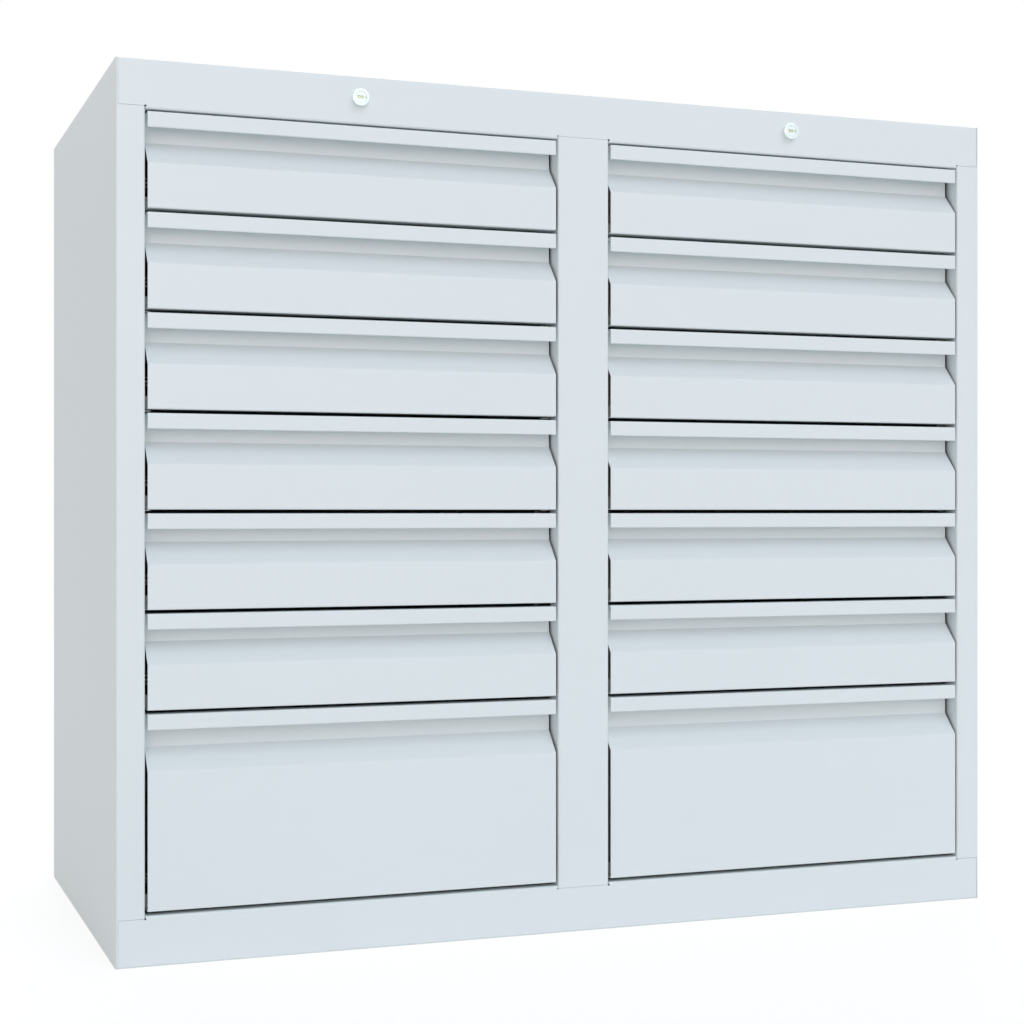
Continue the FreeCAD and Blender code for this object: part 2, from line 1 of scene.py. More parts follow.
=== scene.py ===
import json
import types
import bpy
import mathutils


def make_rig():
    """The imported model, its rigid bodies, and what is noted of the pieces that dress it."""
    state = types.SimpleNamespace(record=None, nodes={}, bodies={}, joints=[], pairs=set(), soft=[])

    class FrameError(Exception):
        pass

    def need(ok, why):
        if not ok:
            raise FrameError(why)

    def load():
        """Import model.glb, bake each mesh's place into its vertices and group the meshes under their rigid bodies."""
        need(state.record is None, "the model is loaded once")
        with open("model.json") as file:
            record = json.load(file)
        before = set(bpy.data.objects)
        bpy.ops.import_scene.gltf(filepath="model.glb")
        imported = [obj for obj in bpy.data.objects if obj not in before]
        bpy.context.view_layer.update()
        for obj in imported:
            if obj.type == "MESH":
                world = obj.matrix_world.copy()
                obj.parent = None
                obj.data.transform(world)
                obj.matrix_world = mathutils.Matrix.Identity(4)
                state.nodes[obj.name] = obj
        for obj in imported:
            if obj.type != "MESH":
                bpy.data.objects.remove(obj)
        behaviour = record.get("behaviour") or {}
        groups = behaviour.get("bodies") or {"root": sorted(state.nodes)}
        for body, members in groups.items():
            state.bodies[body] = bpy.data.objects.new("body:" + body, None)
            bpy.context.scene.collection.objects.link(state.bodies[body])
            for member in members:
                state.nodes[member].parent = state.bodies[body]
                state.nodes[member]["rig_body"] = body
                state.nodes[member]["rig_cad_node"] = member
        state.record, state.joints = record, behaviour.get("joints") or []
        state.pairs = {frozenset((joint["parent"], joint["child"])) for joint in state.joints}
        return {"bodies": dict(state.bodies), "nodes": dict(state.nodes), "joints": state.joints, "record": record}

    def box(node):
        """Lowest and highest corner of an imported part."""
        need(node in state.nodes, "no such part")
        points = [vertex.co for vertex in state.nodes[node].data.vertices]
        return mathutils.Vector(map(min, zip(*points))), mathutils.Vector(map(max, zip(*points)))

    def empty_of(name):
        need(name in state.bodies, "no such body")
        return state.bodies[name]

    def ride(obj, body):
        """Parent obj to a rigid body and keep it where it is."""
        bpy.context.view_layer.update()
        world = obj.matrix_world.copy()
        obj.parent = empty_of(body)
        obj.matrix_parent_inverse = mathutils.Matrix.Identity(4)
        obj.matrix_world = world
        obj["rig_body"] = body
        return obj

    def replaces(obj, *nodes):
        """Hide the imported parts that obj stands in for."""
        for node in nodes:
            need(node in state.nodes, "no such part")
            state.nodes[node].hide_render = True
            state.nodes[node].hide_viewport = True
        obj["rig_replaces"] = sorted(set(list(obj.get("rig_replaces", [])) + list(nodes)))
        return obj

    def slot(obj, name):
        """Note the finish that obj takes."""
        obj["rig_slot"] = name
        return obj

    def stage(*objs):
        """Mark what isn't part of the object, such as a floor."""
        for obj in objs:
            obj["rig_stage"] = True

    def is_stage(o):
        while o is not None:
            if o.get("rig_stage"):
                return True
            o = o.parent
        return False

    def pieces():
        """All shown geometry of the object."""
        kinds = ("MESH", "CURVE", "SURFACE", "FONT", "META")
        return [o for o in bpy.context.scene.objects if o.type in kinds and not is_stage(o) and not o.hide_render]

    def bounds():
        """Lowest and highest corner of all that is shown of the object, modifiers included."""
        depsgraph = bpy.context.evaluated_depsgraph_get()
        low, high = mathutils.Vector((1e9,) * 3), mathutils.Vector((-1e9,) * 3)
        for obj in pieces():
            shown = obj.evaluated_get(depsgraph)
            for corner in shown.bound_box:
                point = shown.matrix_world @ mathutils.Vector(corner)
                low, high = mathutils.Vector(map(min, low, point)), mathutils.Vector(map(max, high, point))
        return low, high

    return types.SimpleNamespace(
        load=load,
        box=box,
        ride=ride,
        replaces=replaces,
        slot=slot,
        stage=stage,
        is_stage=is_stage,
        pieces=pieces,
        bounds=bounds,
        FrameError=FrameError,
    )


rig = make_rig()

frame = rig.load()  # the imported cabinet: bodies, nodes, joints and record
cad_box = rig.bounds()

import json
import math

import bmesh
import bpy
from bpy.props import FloatProperty, FloatVectorProperty, IntProperty, PointerProperty
from mathutils import Vector

# A steel cabinet for microscope slides, in two columns of seven drawers.
# Metres. +X runs to the right across the front, +Y to the back, +Z up.

bl_info = {
    "name": "Slide cabinet",
    "version": (1, 0, 0),
    "blender": (4, 5, 0),
    "location": "3D View > Sidebar > Cabinet",
    "description": "Models the sheet metal, drawers, slides and locks of a slide cabinet",
    "category": "Object",
}

COLUMNS = ("left", "right")
ROWS = range(1, 8)
DEEP_ROW = 7
DRAWERS = [(column, row) for column in COLUMNS for row in ROWS]
FINISH = "_finish"  # added to a slot's name to make its material's
# Left end, right end and half height of the keyway's two openings, from the plug's middle
KEYWAY = ((-0.0044, 0.0022, 0.0015), (0.0036, 0.0054, 0.0009))
# A small screw's domed head from its middle to its seat, as shares of its radius and its height
SCREW_DOME = ((0.0, 1.0), (0.45, 0.97), (0.78, 0.8), (0.95, 0.5), (1.0, 0.2), (1.0, 0.0))
RECESS_ARM = 0.55  # half length, half width, foot and top of a screw's cross, as the same shares
RECESS_SLIM = 0.09
RECESS_FOOT = 0.35
RECESS_TOP = 1.2
TOUCHING = 1e-6  # points nearer than this are one point
POINT_SIZE = 0.001  # size of the square that is drawn together to a line's first point
LEVEL_FACE = 0.9  # a face whose normal rises by more than this is level
BAR_SIDES = 48  # faces around a round bar or a turned piece
LOCK_SIDES = 64
PIN_SIDES = 24
SCREW_SIDES = 20
SCREW_HOLE_SIDES = 32
HEXAGON = 6
RIM_STEPS = 6  # faces across the rounded rim of a lock's head
SLIDE_FOLD_STEPS = 3
CATCH_FOLD_STEPS = 4
ROUNDED_ABOVE = 50.0  # degrees between faces above which an edge is rounded
SHARP_ABOVE = 40.0  # degrees between faces above which an edge is shaded sharp
SHARP_ABOVE_TURNED = 30.0
FINE_GRAIN = 3.1  # the powder coat's fine specks: how much finer than its orange peel, and how strong
FINE_SHARE = 0.3
PAINT_CLOUDS = 6.0  # changes of tone in a metre of powder coat, and of plated strip
PLATE_CLOUDS = 35.0
CRYSTAL_SIZE = 0.006  # size of a galvanised coat's crystals
# Darkest and lightest tone of each finish, in shares of its colour, and its roughness between them
PAINT_TONES = ((0.985, 0.985, 0.985), (1.015, 1.015, 1.015))
PAINT_CLOUD = 0.03  # how far the powder coat's roughness goes up and down
ZINC_TONES = ((0.82, 0.82, 0.82), (1.18, 1.18, 1.18))
ZINC_ROUGHNESS = (0.5, 0.36)
PLATE_TONES = ((1.04, 1.01, 0.95), (0.96, 1.0, 1.05))
PLATE_ROUGHNESS = (0.24, 0.4)
CHROME_TONES = ((0.97, 0.97, 0.97), (1.0, 1.0, 1.0))
CHROME_ROUGHNESS = (0.16, 0.3)
ZINC_DEPTH = 0.00002  # depth of the galvanised crystals
PLATE_DEPTH = 0.000008  # depth of the drawn lines, and their width on each kind of part
SLIDE_LINES = 0.0004
SCREW_LINES = 0.0002
BRASS_LINES = 0.0003
CHROME_LINES = 0.0006
DRAWN_OUT = 0.02  # the lines' width as a share of their length
FLOOR_ROUGHNESS = 0.6
SENSOR_WIDTH = 36.0  # millimetres
VIEW_END = 50.0  # how far the camera sees
# Each lamp's turn from the front to the right, height above level, and spread, in degrees
TOP_LAMP = (20.0, 45.0, 50.0)
LOW_LAMP = (-14.0, 6.0, 40.0)
REAR_LAMP = (165.0, 30.0, 50.0)
LAMP_DISTANCE = 3  # only where a lamp is drawn: its light is the same from any distance
RIGHT = Vector((1, 0, 0))
OUT = Vector((0, -1, 0))
UP = Vector((0, 0, 1))


# --- Sizes and colours that a user would change --------------------------------------------

def length(name, default, description):
    return FloatProperty(name=name, description=description, default=default, min=0.0,
                         precision=5, subtype="DISTANCE", unit="LENGTH")


def colour(name, default, description):
    return FloatVectorProperty(name=name, description=description, default=default, size=3,
                               min=0.0, max=1.0, subtype="COLOR")


def share(name, default, description):
    return FloatProperty(name=name, description=description, default=default, min=0.0, max=1.0,
                         subtype="FACTOR")


def strength(name, default, description):
    return FloatProperty(name=name, description=description, default=default, min=0.0)


def angle(name, degrees, description):
    return FloatProperty(name=name, description=description, default=math.radians(degrees),
                         subtype="ANGLE", unit="ROTATION")


def count(name, default, description, least=0):
    return IntProperty(name=name, description=description, default=default, min=least)


class CabinetSheetMetal(bpy.types.PropertyGroup):
    """Sheets, folds and hems."""
    casing_sheet: length("Casing sheet", 0.0015, "Thickness of the casing's sheet")
    casing_bend: length("Casing bend", 0.00175, "Centre-line radius of the casing's folds")
    front_sheet: length("Front sheet", 0.0012, "Thickness of a drawer front")
    front_bend: length("Front bend", 0.0010, "Centre-line radius of a front's folds")
    tray_sheet: length("Tray sheet", 0.001, "Thickness of a tray's sheet")
    tray_bend: length("Tray bend", 0.0015, "Centre-line radius of a tray's folds")
    hem_gap: length("Hem gap", 0.0002, "Gap inside a folded-back hem")
    cut_edge: length("Cut edge", 0.0003, "Rounding of a sheet's cut edges")
    fold_steps: count("Fold steps", 5, "Faces around a quarter-turn fold", 2)


class CabinetFronts(bpy.types.PropertyGroup):
    """The folded drawer fronts."""
    lip_height: length("Lip height", 0.01575, "Height of the lip above the grip")
    lip_hem: length("Lip hem", 0.006, "Height of the hem behind the lip")
    grip_wall: length("Grip wall", 0.0283, "Height of the wall at the back of the grip")
    grip_slope: length("Grip slope", 0.0227, "Height of the slope below the grip wall")
    deep_extra: length("Deep grip", 0.006, "Extra height of the grip on the deep drawers")
    upturn: length("Upturn", 0.014, "Height of the flange behind a front's under side")
    cap_setback: length("Cap setback", 0.012, "How far a front's end caps lie inside its ends")


class CabinetCasing(bpy.types.PropertyGroup):
    """The panels around the drawers."""
    stile_return: length("Stile return", 0.025, "Depth of the flange behind a stile")
    rear_flange: length("Rear flange", 0.02, "Width of the sides' rear flanges")
    pan_flange: length("Pan flange", 0.02, "Height of the flanges around top and bottom")
    fascia_return: length("Fascia return", 0.015, "Depth of the flange behind header and plinth")
    pan_radius: length("Pan radius", 0.0025, "Outer radius of the pans' and the mullion's folds")
    notch: length("Notch", 0.0026, "How far the stiles reach behind header and plinth")
    seam: length("Seam", 0.0003, "Gap between two panels")
    edge_strip: length("Edge strip", 0.0023, "Width of the sides' edge beside header and plinth")
    strip_gap: length("Strip gap", 0.0001, "Gap between that edge and header or plinth")
    relief: length("Relief", 0.001, "Radius of the relief hole at a notch's corner")
    back_screws: count("Back screws", 6, "Screws along an edge of the back", 2)
    lock_hole: length("Lock hole", 0.0081, "Radius of the header's lock holes")


class CabinetTrays(bpy.types.PropertyGroup):
    """The trays, their dividers and what is fixed to them."""
    side_gap: length("Side gap", 0.0025, "Gap between a front and the plane its slides are fixed on")
    slide_thickness: length("Slide thickness", 0.0127, "Thickness of a closed drawer slide")
    rim_hem: length("Rim hem", 0.008, "Height of the hems along the trays' rims")
    divider_height: length("Divider height", 0.03, "Height of the lane dividers")
    divider_sheet: length("Divider sheet", 0.001, "Thickness of the lane dividers")
    divider_count: count("Dividers", 4, "Dividers in a shallow tray")
    catch_reach: length("Catch reach", 0.0092, "How far a lock catch stands off its tray")
    catch_foot: length("Catch foot", 0.02, "Length of a lock catch along its tray")
    catch_sheet: length("Catch sheet", 0.002, "Thickness of a lock catch")
    catch_height: length("Catch height", 0.01, "Height of a lock catch")
    catch_rise: length("Catch rise", 0.035, "How far a lock catch lies above the middle of the slides")
    catch_bend: length("Catch bend", 0.0012, "Centre-line radius of a lock catch's fold")


class CabinetSlides(bpy.types.PropertyGroup):
    """The members, cages and balls of the drawer slides."""
    sheet: length("Slide sheet", 0.0012, "Thickness of the slide members")
    bend: length("Slide bend", 0.0014, "Centre-line radius of the members' folds")
    inner_height: length("Inner height", 0.0182, "Height of an inner member")
    inner_reach: length("Inner reach", 0.0046, "Where an inner member's flanges start")
    middle_height: length("Middle height", 0.0266, "Height of a middle member")
    middle_web: length("Middle web", 0.0026, "Where the middle of a middle member's web lies")
    middle_reach: length("Middle reach", 0.0106, "Where a middle member's flanges end")
    race: length("Race", 0.003, "Height of the space that the balls run in")
    outer_height: length("Outer height", 0.035, "Height of an outer member")
    outer_reach: length("Outer reach", 0.0096, "Where an outer member's flanges end")
    cage_sheet: length("Cage sheet", 0.0006, "Thickness of a ball cage")
    cage_width: length("Cage width", 0.004, "Width of a ball cage")
    cage_inset: length("Cage inset", 0.012, "Distance of a ball cage from its member's end and middle")
    outer_balls: length("Outer balls", 0.0054, "Where the middles of the outer row of balls lie")
    inner_balls: length("Inner balls", 0.0076, "Where the middles of the inner row of balls lie")
    ball_pitch: length("Ball pitch", 0.016, "Distance between two balls")
    screw_inset: length("Screw inset", 0.06, "Distance of a fixing screw from a slide's end")


class CabinetLocks(bpy.types.PropertyGroup):
    """The cam locks and the small screws."""
    head_radius: length("Head radius", 0.009, "Radius of a lock's head")
    head_proud: length("Head proud", 0.006, "How far a lock's head stands off the header")
    head_round: length("Head rounding", 0.0008, "Rounding of a lock's head")
    body_radius: length("Body radius", 0.008, "Radius of a lock's barrel")
    body_length: length("Body length", 0.0207, "Length of a lock's barrel behind the header")
    plug_radius: length("Plug radius", 0.0062, "Radius of the turning plug")
    plug_play: length("Plug play", 0.00005, "Play around the plug")
    plug_drop: length("Plug drop", 0.0003, "How far the plug's face lies behind the head's")
    keyway_depth: length("Keyway depth", 0.016, "Depth of the keyway")
    wafer_count: count("Wafers", 5, "Wafers in a keyway", 1)
    wafer_drop: length("Wafer drop", 0.0007, "How far the first wafer lies behind the plug's face")
    wafer_play: length("Wafer play", 0.0001, "Play around the wafers")
    wafer_step: length("Wafer step", 0.002, "Distance from one wafer to the next")
    nut_corner: length("Nut corner", 0.0127, "Distance of the nut's corners from its middle")
    nut_height: length("Nut height", 0.005, "Height of the nut")
    nut_play: length("Nut play", 0.0001, "Play of the nut on the barrel's thread")
    cam_sheet: length("Cam sheet", 0.003, "Thickness of the cam")
    cam_hub: length("Cam hub", 0.007, "Radius of the cam around the plug's tail")
    cam_end: length("Cam end", 0.005, "Radius of the cam around its pin")
    cam_throw: length("Cam throw", 0.008, "Distance of the cam's pin from the plug's middle")
    cam_turn: angle("Cam turn", 45.0, "Turn of the cam with its bar lifted")
    pin_radius: length("Pin radius", 0.0025, "Radius of the cam's pin")
    cam_screw: length("Cam screw", 0.0035, "Radius of the cam screw's hexagon head")
    cam_screw_rise: length("Cam screw rise", 0.0024, "Height of the cam screw's head")
    screw_head: length("Screw head", 0.0036, "Radius of a small screw's head")
    screw_rise: length("Screw rise", 0.0014, "Height of a small screw's head")
    screw_hole: length("Screw hole", 0.0021, "Radius of a small screw's hole")
    screw_shank: length("Screw shank", 0.0019, "Radius of a small screw's shank")


class CabinetFinish(bpy.types.PropertyGroup):
    """Colours and gloss."""
    paint: colour("Paint", (0.745, 0.80, 0.805), "Powder coat on casing and fronts")
    tray_paint: colour("Tray paint", (0.60, 0.645, 0.675), "Powder coat on the trays")
    zinc: colour("Zinc", (0.60, 0.615, 0.63), "Zinc plate on slides and screws")
    galvanised: colour("Galvanised", (0.52, 0.54, 0.55), "Galvanised brackets and bars")
    chrome: colour("Chrome", (0.82, 0.91, 0.91), "Polished plating on the locks")
    brass: colour("Brass", (0.56, 0.60, 0.42), "Brass wafers in the locks' keyways")
    paint_roughness: share("Paint roughness", 0.42, "Roughness of the powder coat")
    grain_size: length("Grain size", 0.0011, "Size of the powder coat's orange peel")
    grain_depth: length("Grain depth", 0.000012, "Depth of the powder coat's orange peel")


class CabinetStage(bpy.types.PropertyGroup):
    """Camera, floor and lights."""
    camera_place: FloatVectorProperty(name="Camera place", description="Where the camera stands", size=3,
                                      default=(-0.7806, -2.0977, 0.4511), subtype="XYZ", unit="LENGTH")
    camera_turn: angle("Camera turn", 19.929, "Turn of the view towards +X")
    camera_lens: FloatProperty(name="Lens", description="Focal length on a 36 mm sensor",
                               default=65.40, min=1.0, subtype="DISTANCE_CAMERA", unit="CAMERA")
    camera_shift: FloatProperty(name="Shift", description="Sideways shift of the view", default=0.0244)
    ambient: strength("Ambient", 0.47, "Strength of the light from all around")
    top_power: strength("Top lamp", 0.94, "Strength of the cool lamp, high in front")
    low_power: strength("Low lamp", 0.70, "Strength of the warm lamp, low in front")
    rear_power: strength("Rear lamp", 0.8, "Strength of the lamp behind")
    cool_tint: colour("Cool tint", (0.72, 0.86, 1.0), "Colour of the top lamp")
    warm_tint: colour("Warm tint", (1.0, 0.86, 0.88), "Colour of the low lamp")
    rear_tint: colour("Rear tint", (0.86, 0.92, 1.0), "Colour of the rear lamp")
    floor_size: length("Floor size", 9.0, "Width of the floor")
    floor_colour: colour("Floor colour", (0.97, 0.97, 0.97), "Colour of the floor")
    floor_white: share("Floor white", 0.75, "Share of the floor that is seen as plain white")
    floor_glow: strength("Floor glow", 1.08, "Strength of that plain white")


def settings():
    return bpy.context.scene.slide_cabinet


class CabinetSettings(bpy.types.PropertyGroup):
    """All the settings of the cabinet."""
    metal: PointerProperty(type=CabinetSheetMetal)
    fronts: PointerProperty(type=CabinetFronts)
    casing: PointerProperty(type=CabinetCasing)
    trays: PointerProperty(type=CabinetTrays)
    slides: PointerProperty(type=CabinetSlides)
    locks: PointerProperty(type=CabinetLocks)
    finish: PointerProperty(type=CabinetFinish)
    stage: PointerProperty(type=CabinetStage)


# --- Modelling by hand ---------------------------------------------------------------------

def select_only(*objects):
    """Leaves object mode with only these objects selected, the first of them active."""
    if bpy.context.object and bpy.context.object.mode != "OBJECT":
        bpy.ops.object.mode_set(mode="OBJECT")
    bpy.ops.object.select_all(action="DESELECT")
    for item in objects:
        item.select_set(True)
    bpy.context.view_layer.objects.active = objects[0]


def edit(piece):
    """Edit mode on one piece with nothing in it selected."""
    select_only(piece)
    bpy.ops.object.mode_set(mode="EDIT")
    bpy.ops.mesh.select_all(action="DESELECT")


def stop_editing():
    """Back to object mode."""
    bpy.ops.object.mode_set(mode="OBJECT")


def pick(piece, kind, wanted):
    """Selects the vertices, edges or faces that pass a test, in the piece being edited."""
    bpy.ops.mesh.select_all(action="DESELECT")
    bpy.ops.mesh.select_mode(type=kind)
    mesh = bmesh.from_edit_mesh(piece.data)
    parts = {"VERT": mesh.verts, "EDGE": mesh.edges, "FACE": mesh.faces}[kind]
    found = [item for item in parts if wanted(item)]
    for item in found:
        item.select_set(True)
    mesh.select_flush_mode()
    bmesh.update_edit_mesh(piece.data)
    return len(found)


def add_modifier(piece, kind, **values):
    """Adds a modifier and applies it."""
    select_only(piece)
    modifier = piece.modifiers.new(kind.title(), kind)
    for key, value in values.items():
        setattr(modifier, key, value)
    bpy.ops.object.modifier_apply(modifier=modifier.name)


def apply_place(piece):
    """Puts the object at the origin, with its place in its mesh."""
    select_only(piece)
    bpy.ops.object.transform_apply(location=True, rotation=True, scale=True)


def start(primitive_add, **values):
    """A primitive added with nothing else selected."""
    bpy.ops.object.select_all(action="DESELECT")
    primitive_add(**values)
    return bpy.context.object


def settle(piece, name):
    """Names a new piece and puts its place in its mesh."""
    piece.name = name
    apply_place(piece)
    return piece


def select_whole(kind=None):
    """Selects all of the piece being edited."""
    if kind:
        bpy.ops.mesh.select_mode(type=kind)
    bpy.ops.mesh.select_all(action="SELECT")


def pull_out(way):
    """Pulls what is selected out along a vector."""
    bpy.ops.mesh.extrude_region_move(TRANSFORM_OT_translate={"value": way})


def line(name, points):
    """A piece drawn as one line of edges: a point, pulled out again and again."""
    piece = settle(start(bpy.ops.mesh.primitive_plane_add, size=POINT_SIZE, location=points[0]), name)
    bpy.ops.object.mode_set(mode="EDIT")
    select_whole("VERT")
    bpy.ops.mesh.merge(type="CENTER")
    for before, after in zip(points, points[1:]):
        pull_out(after - before)
    return piece


def face_outwards():
    """Turns every face of the piece being edited outwards, and stops editing."""
    select_whole()
    bpy.ops.mesh.normals_make_consistent(inside=False)
    stop_editing()


def fold_trim(before, corner, after, radius):
    """How far from a corner a bend of this radius starts."""
    turn = (corner - before).angle(after - corner)
    return radius * math.tan(turn / 2)


def round_folds(piece, points, radii, steps):
    """Turns the corners of the line being edited into bends."""
    for i, radius in enumerate(radii):
        corner = points[i + 1]
        if not pick(piece, "VERT", lambda v: (v.co - corner).length < TOUCHING):
            raise RuntimeError(f"{piece.name} has no corner at {corner}")
        trim = fold_trim(points[i], corner, points[i + 2], radius)
        bpy.ops.mesh.bevel(offset=trim, segments=steps, affect="VERTICES")
    select_whole()
    bpy.ops.mesh.remove_doubles(threshold=TOUCHING)


def folded_sheet(name, points, radii, sweep, thickness, steps):
    """A sheet folded along a line of points, pulled out straight, and given its thickness."""
    piece = line(name, points)
    round_folds(piece, points, radii, steps)
    select_whole()
    pull_out(sweep)
    face_outwards()
    add_modifier(piece, "SOLIDIFY", thickness=thickness, offset=0.0, use_even_offset=True)
    return piece


def plate(name, points, sweep):
    """A flat plate with the outline of these points, pulled out to its thickness."""
    piece = line(name, points)
    select_whole()
    bpy.ops.mesh.edge_face_add()
    pull_out(sweep)
    face_outwards()
    return piece


def between_spans(name, across, along, upright):
    """A box between two values of x, two of y and two of z."""
    low, high = zip(across, along, upright)
    return block(name, Vector(low), Vector(high))


def block(name, low, high):
    """A box between two corners."""
    piece = start(bpy.ops.mesh.primitive_cube_add, size=1.0, location=(low + high) / 2)
    piece.scale = high - low
    return settle(piece, name)


def cylinder(name, foot, end, radius, sides=BAR_SIDES):
    """A round bar between two points on a line along one of the axes."""
    way = end - foot
    piece = start(bpy.ops.mesh.primitive_cylinder_add, vertices=sides, radius=radius, depth=way.length,
                  location=(foot + end) / 2, rotation=way.to_track_quat("Z", "X").to_euler())
    return settle(piece, name)


def turned(name, profile, centre, out, steps):
    """A turned piece: a profile of radii and heights, spun about the axis that points out."""
    points = [centre + RIGHT * radius + out * rise for radius, rise in profile]
    piece = line(name, points)
    select_whole()
    bpy.ops.mesh.spin(steps=steps, angle=2 * math.pi, center=centre, axis=out)
    select_whole()
    bpy.ops.mesh.remove_doubles(threshold=TOUCHING)
    face_outwards()
    return piece


def cut_away(piece, cutters):
    """Cuts the cutters out of a piece and deletes them."""
    cutter = join("cutter", cutters) if len(cutters) > 1 else cutters[0]
    add_modifier(piece, "BOOLEAN", operation="DIFFERENCE", object=cutter, solver="EXACT", use_self=True)
    bpy.data.objects.remove(cutter)


def edit_copy(piece, name):
    """A copy with its own mesh, being edited with all of it selected."""
    select_only(piece)
    bpy.ops.object.duplicate(linked=False)
    twin = bpy.context.object
    twin.name = name
    bpy.ops.object.mode_set(mode="EDIT")
    select_whole()
    return twin


def mirror_copy(piece, name):
    """The same piece on the other side of the cabinet."""
    twin = edit_copy(piece, name)
    bpy.ops.transform.resize(value=(-1, 1, 1), center_override=(0, 0, 0))
    bpy.ops.mesh.flip_normals()
    stop_editing()
    return twin


def soften(piece, width):
    """Rounds the sharp edges of a piece and shades it smooth between them."""
    add_modifier(piece, "BEVEL", width=width, segments=2, limit_method="ANGLE",
                 angle_limit=math.radians(ROUNDED_ABOVE), use_clamp_overlap=False)
    shade(piece)


def shade(piece, sharp_above=SHARP_ABOVE):
    """Smooth shading between sharp edges, with flat faces kept flat."""
    select_only(piece)
    bpy.ops.object.shade_smooth_by_angle(angle=math.radians(sharp_above))
    add_modifier(piece, "WEIGHTED_NORMAL", keep_sharp=True)


def join(name, pieces):
    """Joins pieces into the first of them."""
    select_only(*pieces)
    bpy.ops.object.join()
    piece = bpy.context.object
    piece.name = name
    return piece


def copy_at(piece, name, shift):
    """A copy with its own mesh, moved to its place, without the first one's body and nodes."""
    twin = edit_copy(piece, name)
    twin.id_properties_clear()
    bpy.ops.transform.translate(value=shift)
    stop_editing()
    return twin


def dress(piece, body, slot, node_name, finish=None):
    """Gives a finished piece its finish, its body, its slot and the node that it stands for."""
    piece.data.materials.clear()
    piece.data.materials.append(material_of(finish or slot))
    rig.ride(piece, body)
    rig.slot(piece, slot)
    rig.replaces(piece, node_name)


def made_once(models, key, name, place, make):
    """A piece made at its place, or a copy of the one made under this key before, moved to it."""
    if key in models:
        model, model_place = models[key]
        return copy_at(model, name, place - model_place)
    piece = make()
    models[key] = (piece, place)
    return piece


# --- Shared surface effects ----------------------------------------------------------------

def new_group(name, inputs, outputs):
    """An empty node group with named sockets."""
    group = bpy.data.node_groups.new(name, "ShaderNodeTree")
    for socket, default in inputs:
        item = group.interface.new_socket(name=socket, in_out="INPUT", socket_type="NodeSocketFloat")
        item.default_value = default
    for socket in outputs:
        group.interface.new_socket(name=socket, in_out="OUTPUT", socket_type="NodeSocketFloat")
    return group, group.nodes.new("NodeGroupInput"), group.nodes.new("NodeGroupOutput")


def set_sockets(made, values):
    """Sets a node's sockets, each named with a _ for a space."""
    for key, value in values.items():
        made.inputs[key.replace("_", " ")].default_value = value


def node(tree, kind, **values):
    """A node with the plain values of its sockets set."""
    made = tree.nodes.new(kind)
    set_sockets(made, values)
    return made


def maths(tree, operation, one, two):
    """The result of an operation on two sockets or plain numbers."""
    made = tree.nodes.new("ShaderNodeMath")
    made.operation = operation
    for socket, value in zip(made.inputs, (one, two)):
        if isinstance(value, (int, float)):
            socket.default_value = value
        else:
            tree.links.new(value, socket)
    return made.outputs[0]


def object_place(group):
    return node(group, "ShaderNodeTexCoord").outputs["Object"]


def texture(group, kind, place, scale=None, **values):
    """A texture read at a place, its scale a plain value or a socket."""
    made = node(group, "ShaderNodeTex" + kind, **values)
    group.links.new(place, made.inputs["Vector"])
    if scale:
        group.links.new(scale, made.inputs["Scale"])
    return made


def powder_group():
    """The powder coat's orange peel, with a slow change of tone."""
    group, given, result = new_group("Powder coat grain", [("Grain Size", 0.001)], ["Height", "Tone"])
    place = object_place(group)
    scale = maths(group, "DIVIDE", 1.0, given.outputs["Grain Size"])
    fine_scale = maths(group, "MULTIPLY", scale, FINE_GRAIN)
    peel = texture(group, "Noise", place, scale, Detail=2.0, Roughness=0.55)
    speck = texture(group, "Noise", place, fine_scale, Detail=1.0, Roughness=0.5)
    tone = texture(group, "Noise", place, Scale=PAINT_CLOUDS, Detail=3.0, Roughness=0.6)
    fine = maths(group, "MULTIPLY", speck.outputs["Fac"], FINE_SHARE)
    group.links.new(maths(group, "ADD", peel.outputs["Fac"], fine), result.inputs["Height"])
    group.links.new(tone.outputs["Fac"], result.inputs["Tone"])


def spangle_group():
    """The crystals of a galvanised coat."""
    group, given, result = new_group("Galvanised spangle", [("Crystal Size", CRYSTAL_SIZE)],
                                     ["Tone", "Height"])
    place = object_place(group)
    scale = maths(group, "DIVIDE", 1.0, given.outputs["Crystal Size"])
    cells = texture(group, "Voronoi", place, scale)
    haze = texture(group, "Noise", place, scale, Detail=4.0)
    tone = node(group, "ShaderNodeSeparateColor")
    group.links.new(cells.outputs["Color"], tone.inputs["Color"])
    mixed = maths(group, "MULTIPLY", tone.outputs["Red"], haze.outputs["Fac"])
    group.links.new(mixed, result.inputs["Tone"])
    group.links.new(haze.outputs["Fac"], result.inputs["Height"])


def drawn_group():
    """The fine lines of cold-drawn, plated strip, along the drawers' travel."""
    group, given, result = new_group("Drawn strip", [("Line Size", SLIDE_LINES)], ["Lines", "Cloud"])
    place = object_place(group)
    along = node(group, "ShaderNodeMapping", Scale=(1.0, DRAWN_OUT, 1.0))
    group.links.new(place, along.inputs["Vector"])
    scale = maths(group, "DIVIDE", 1.0, given.outputs["Line Size"])
    lines = texture(group, "Noise", along.outputs["Vector"], scale, Detail=3.0)
    cloud = texture(group, "Noise", place, Scale=PLATE_CLOUDS, Detail=3.0)
    group.links.new(lines.outputs["Fac"], result.inputs["Lines"])
    group.links.new(cloud.outputs["Fac"], result.inputs["Cloud"])


def use_group(tree, name, **values):
    """One of the shared groups in a material, with its own values."""
    made = tree.nodes.new("ShaderNodeGroup")
    made.node_tree = bpy.data.node_groups[name]
    set_sockets(made, values)
    return made


# --- Materials -----------------------------------------------------------------------------

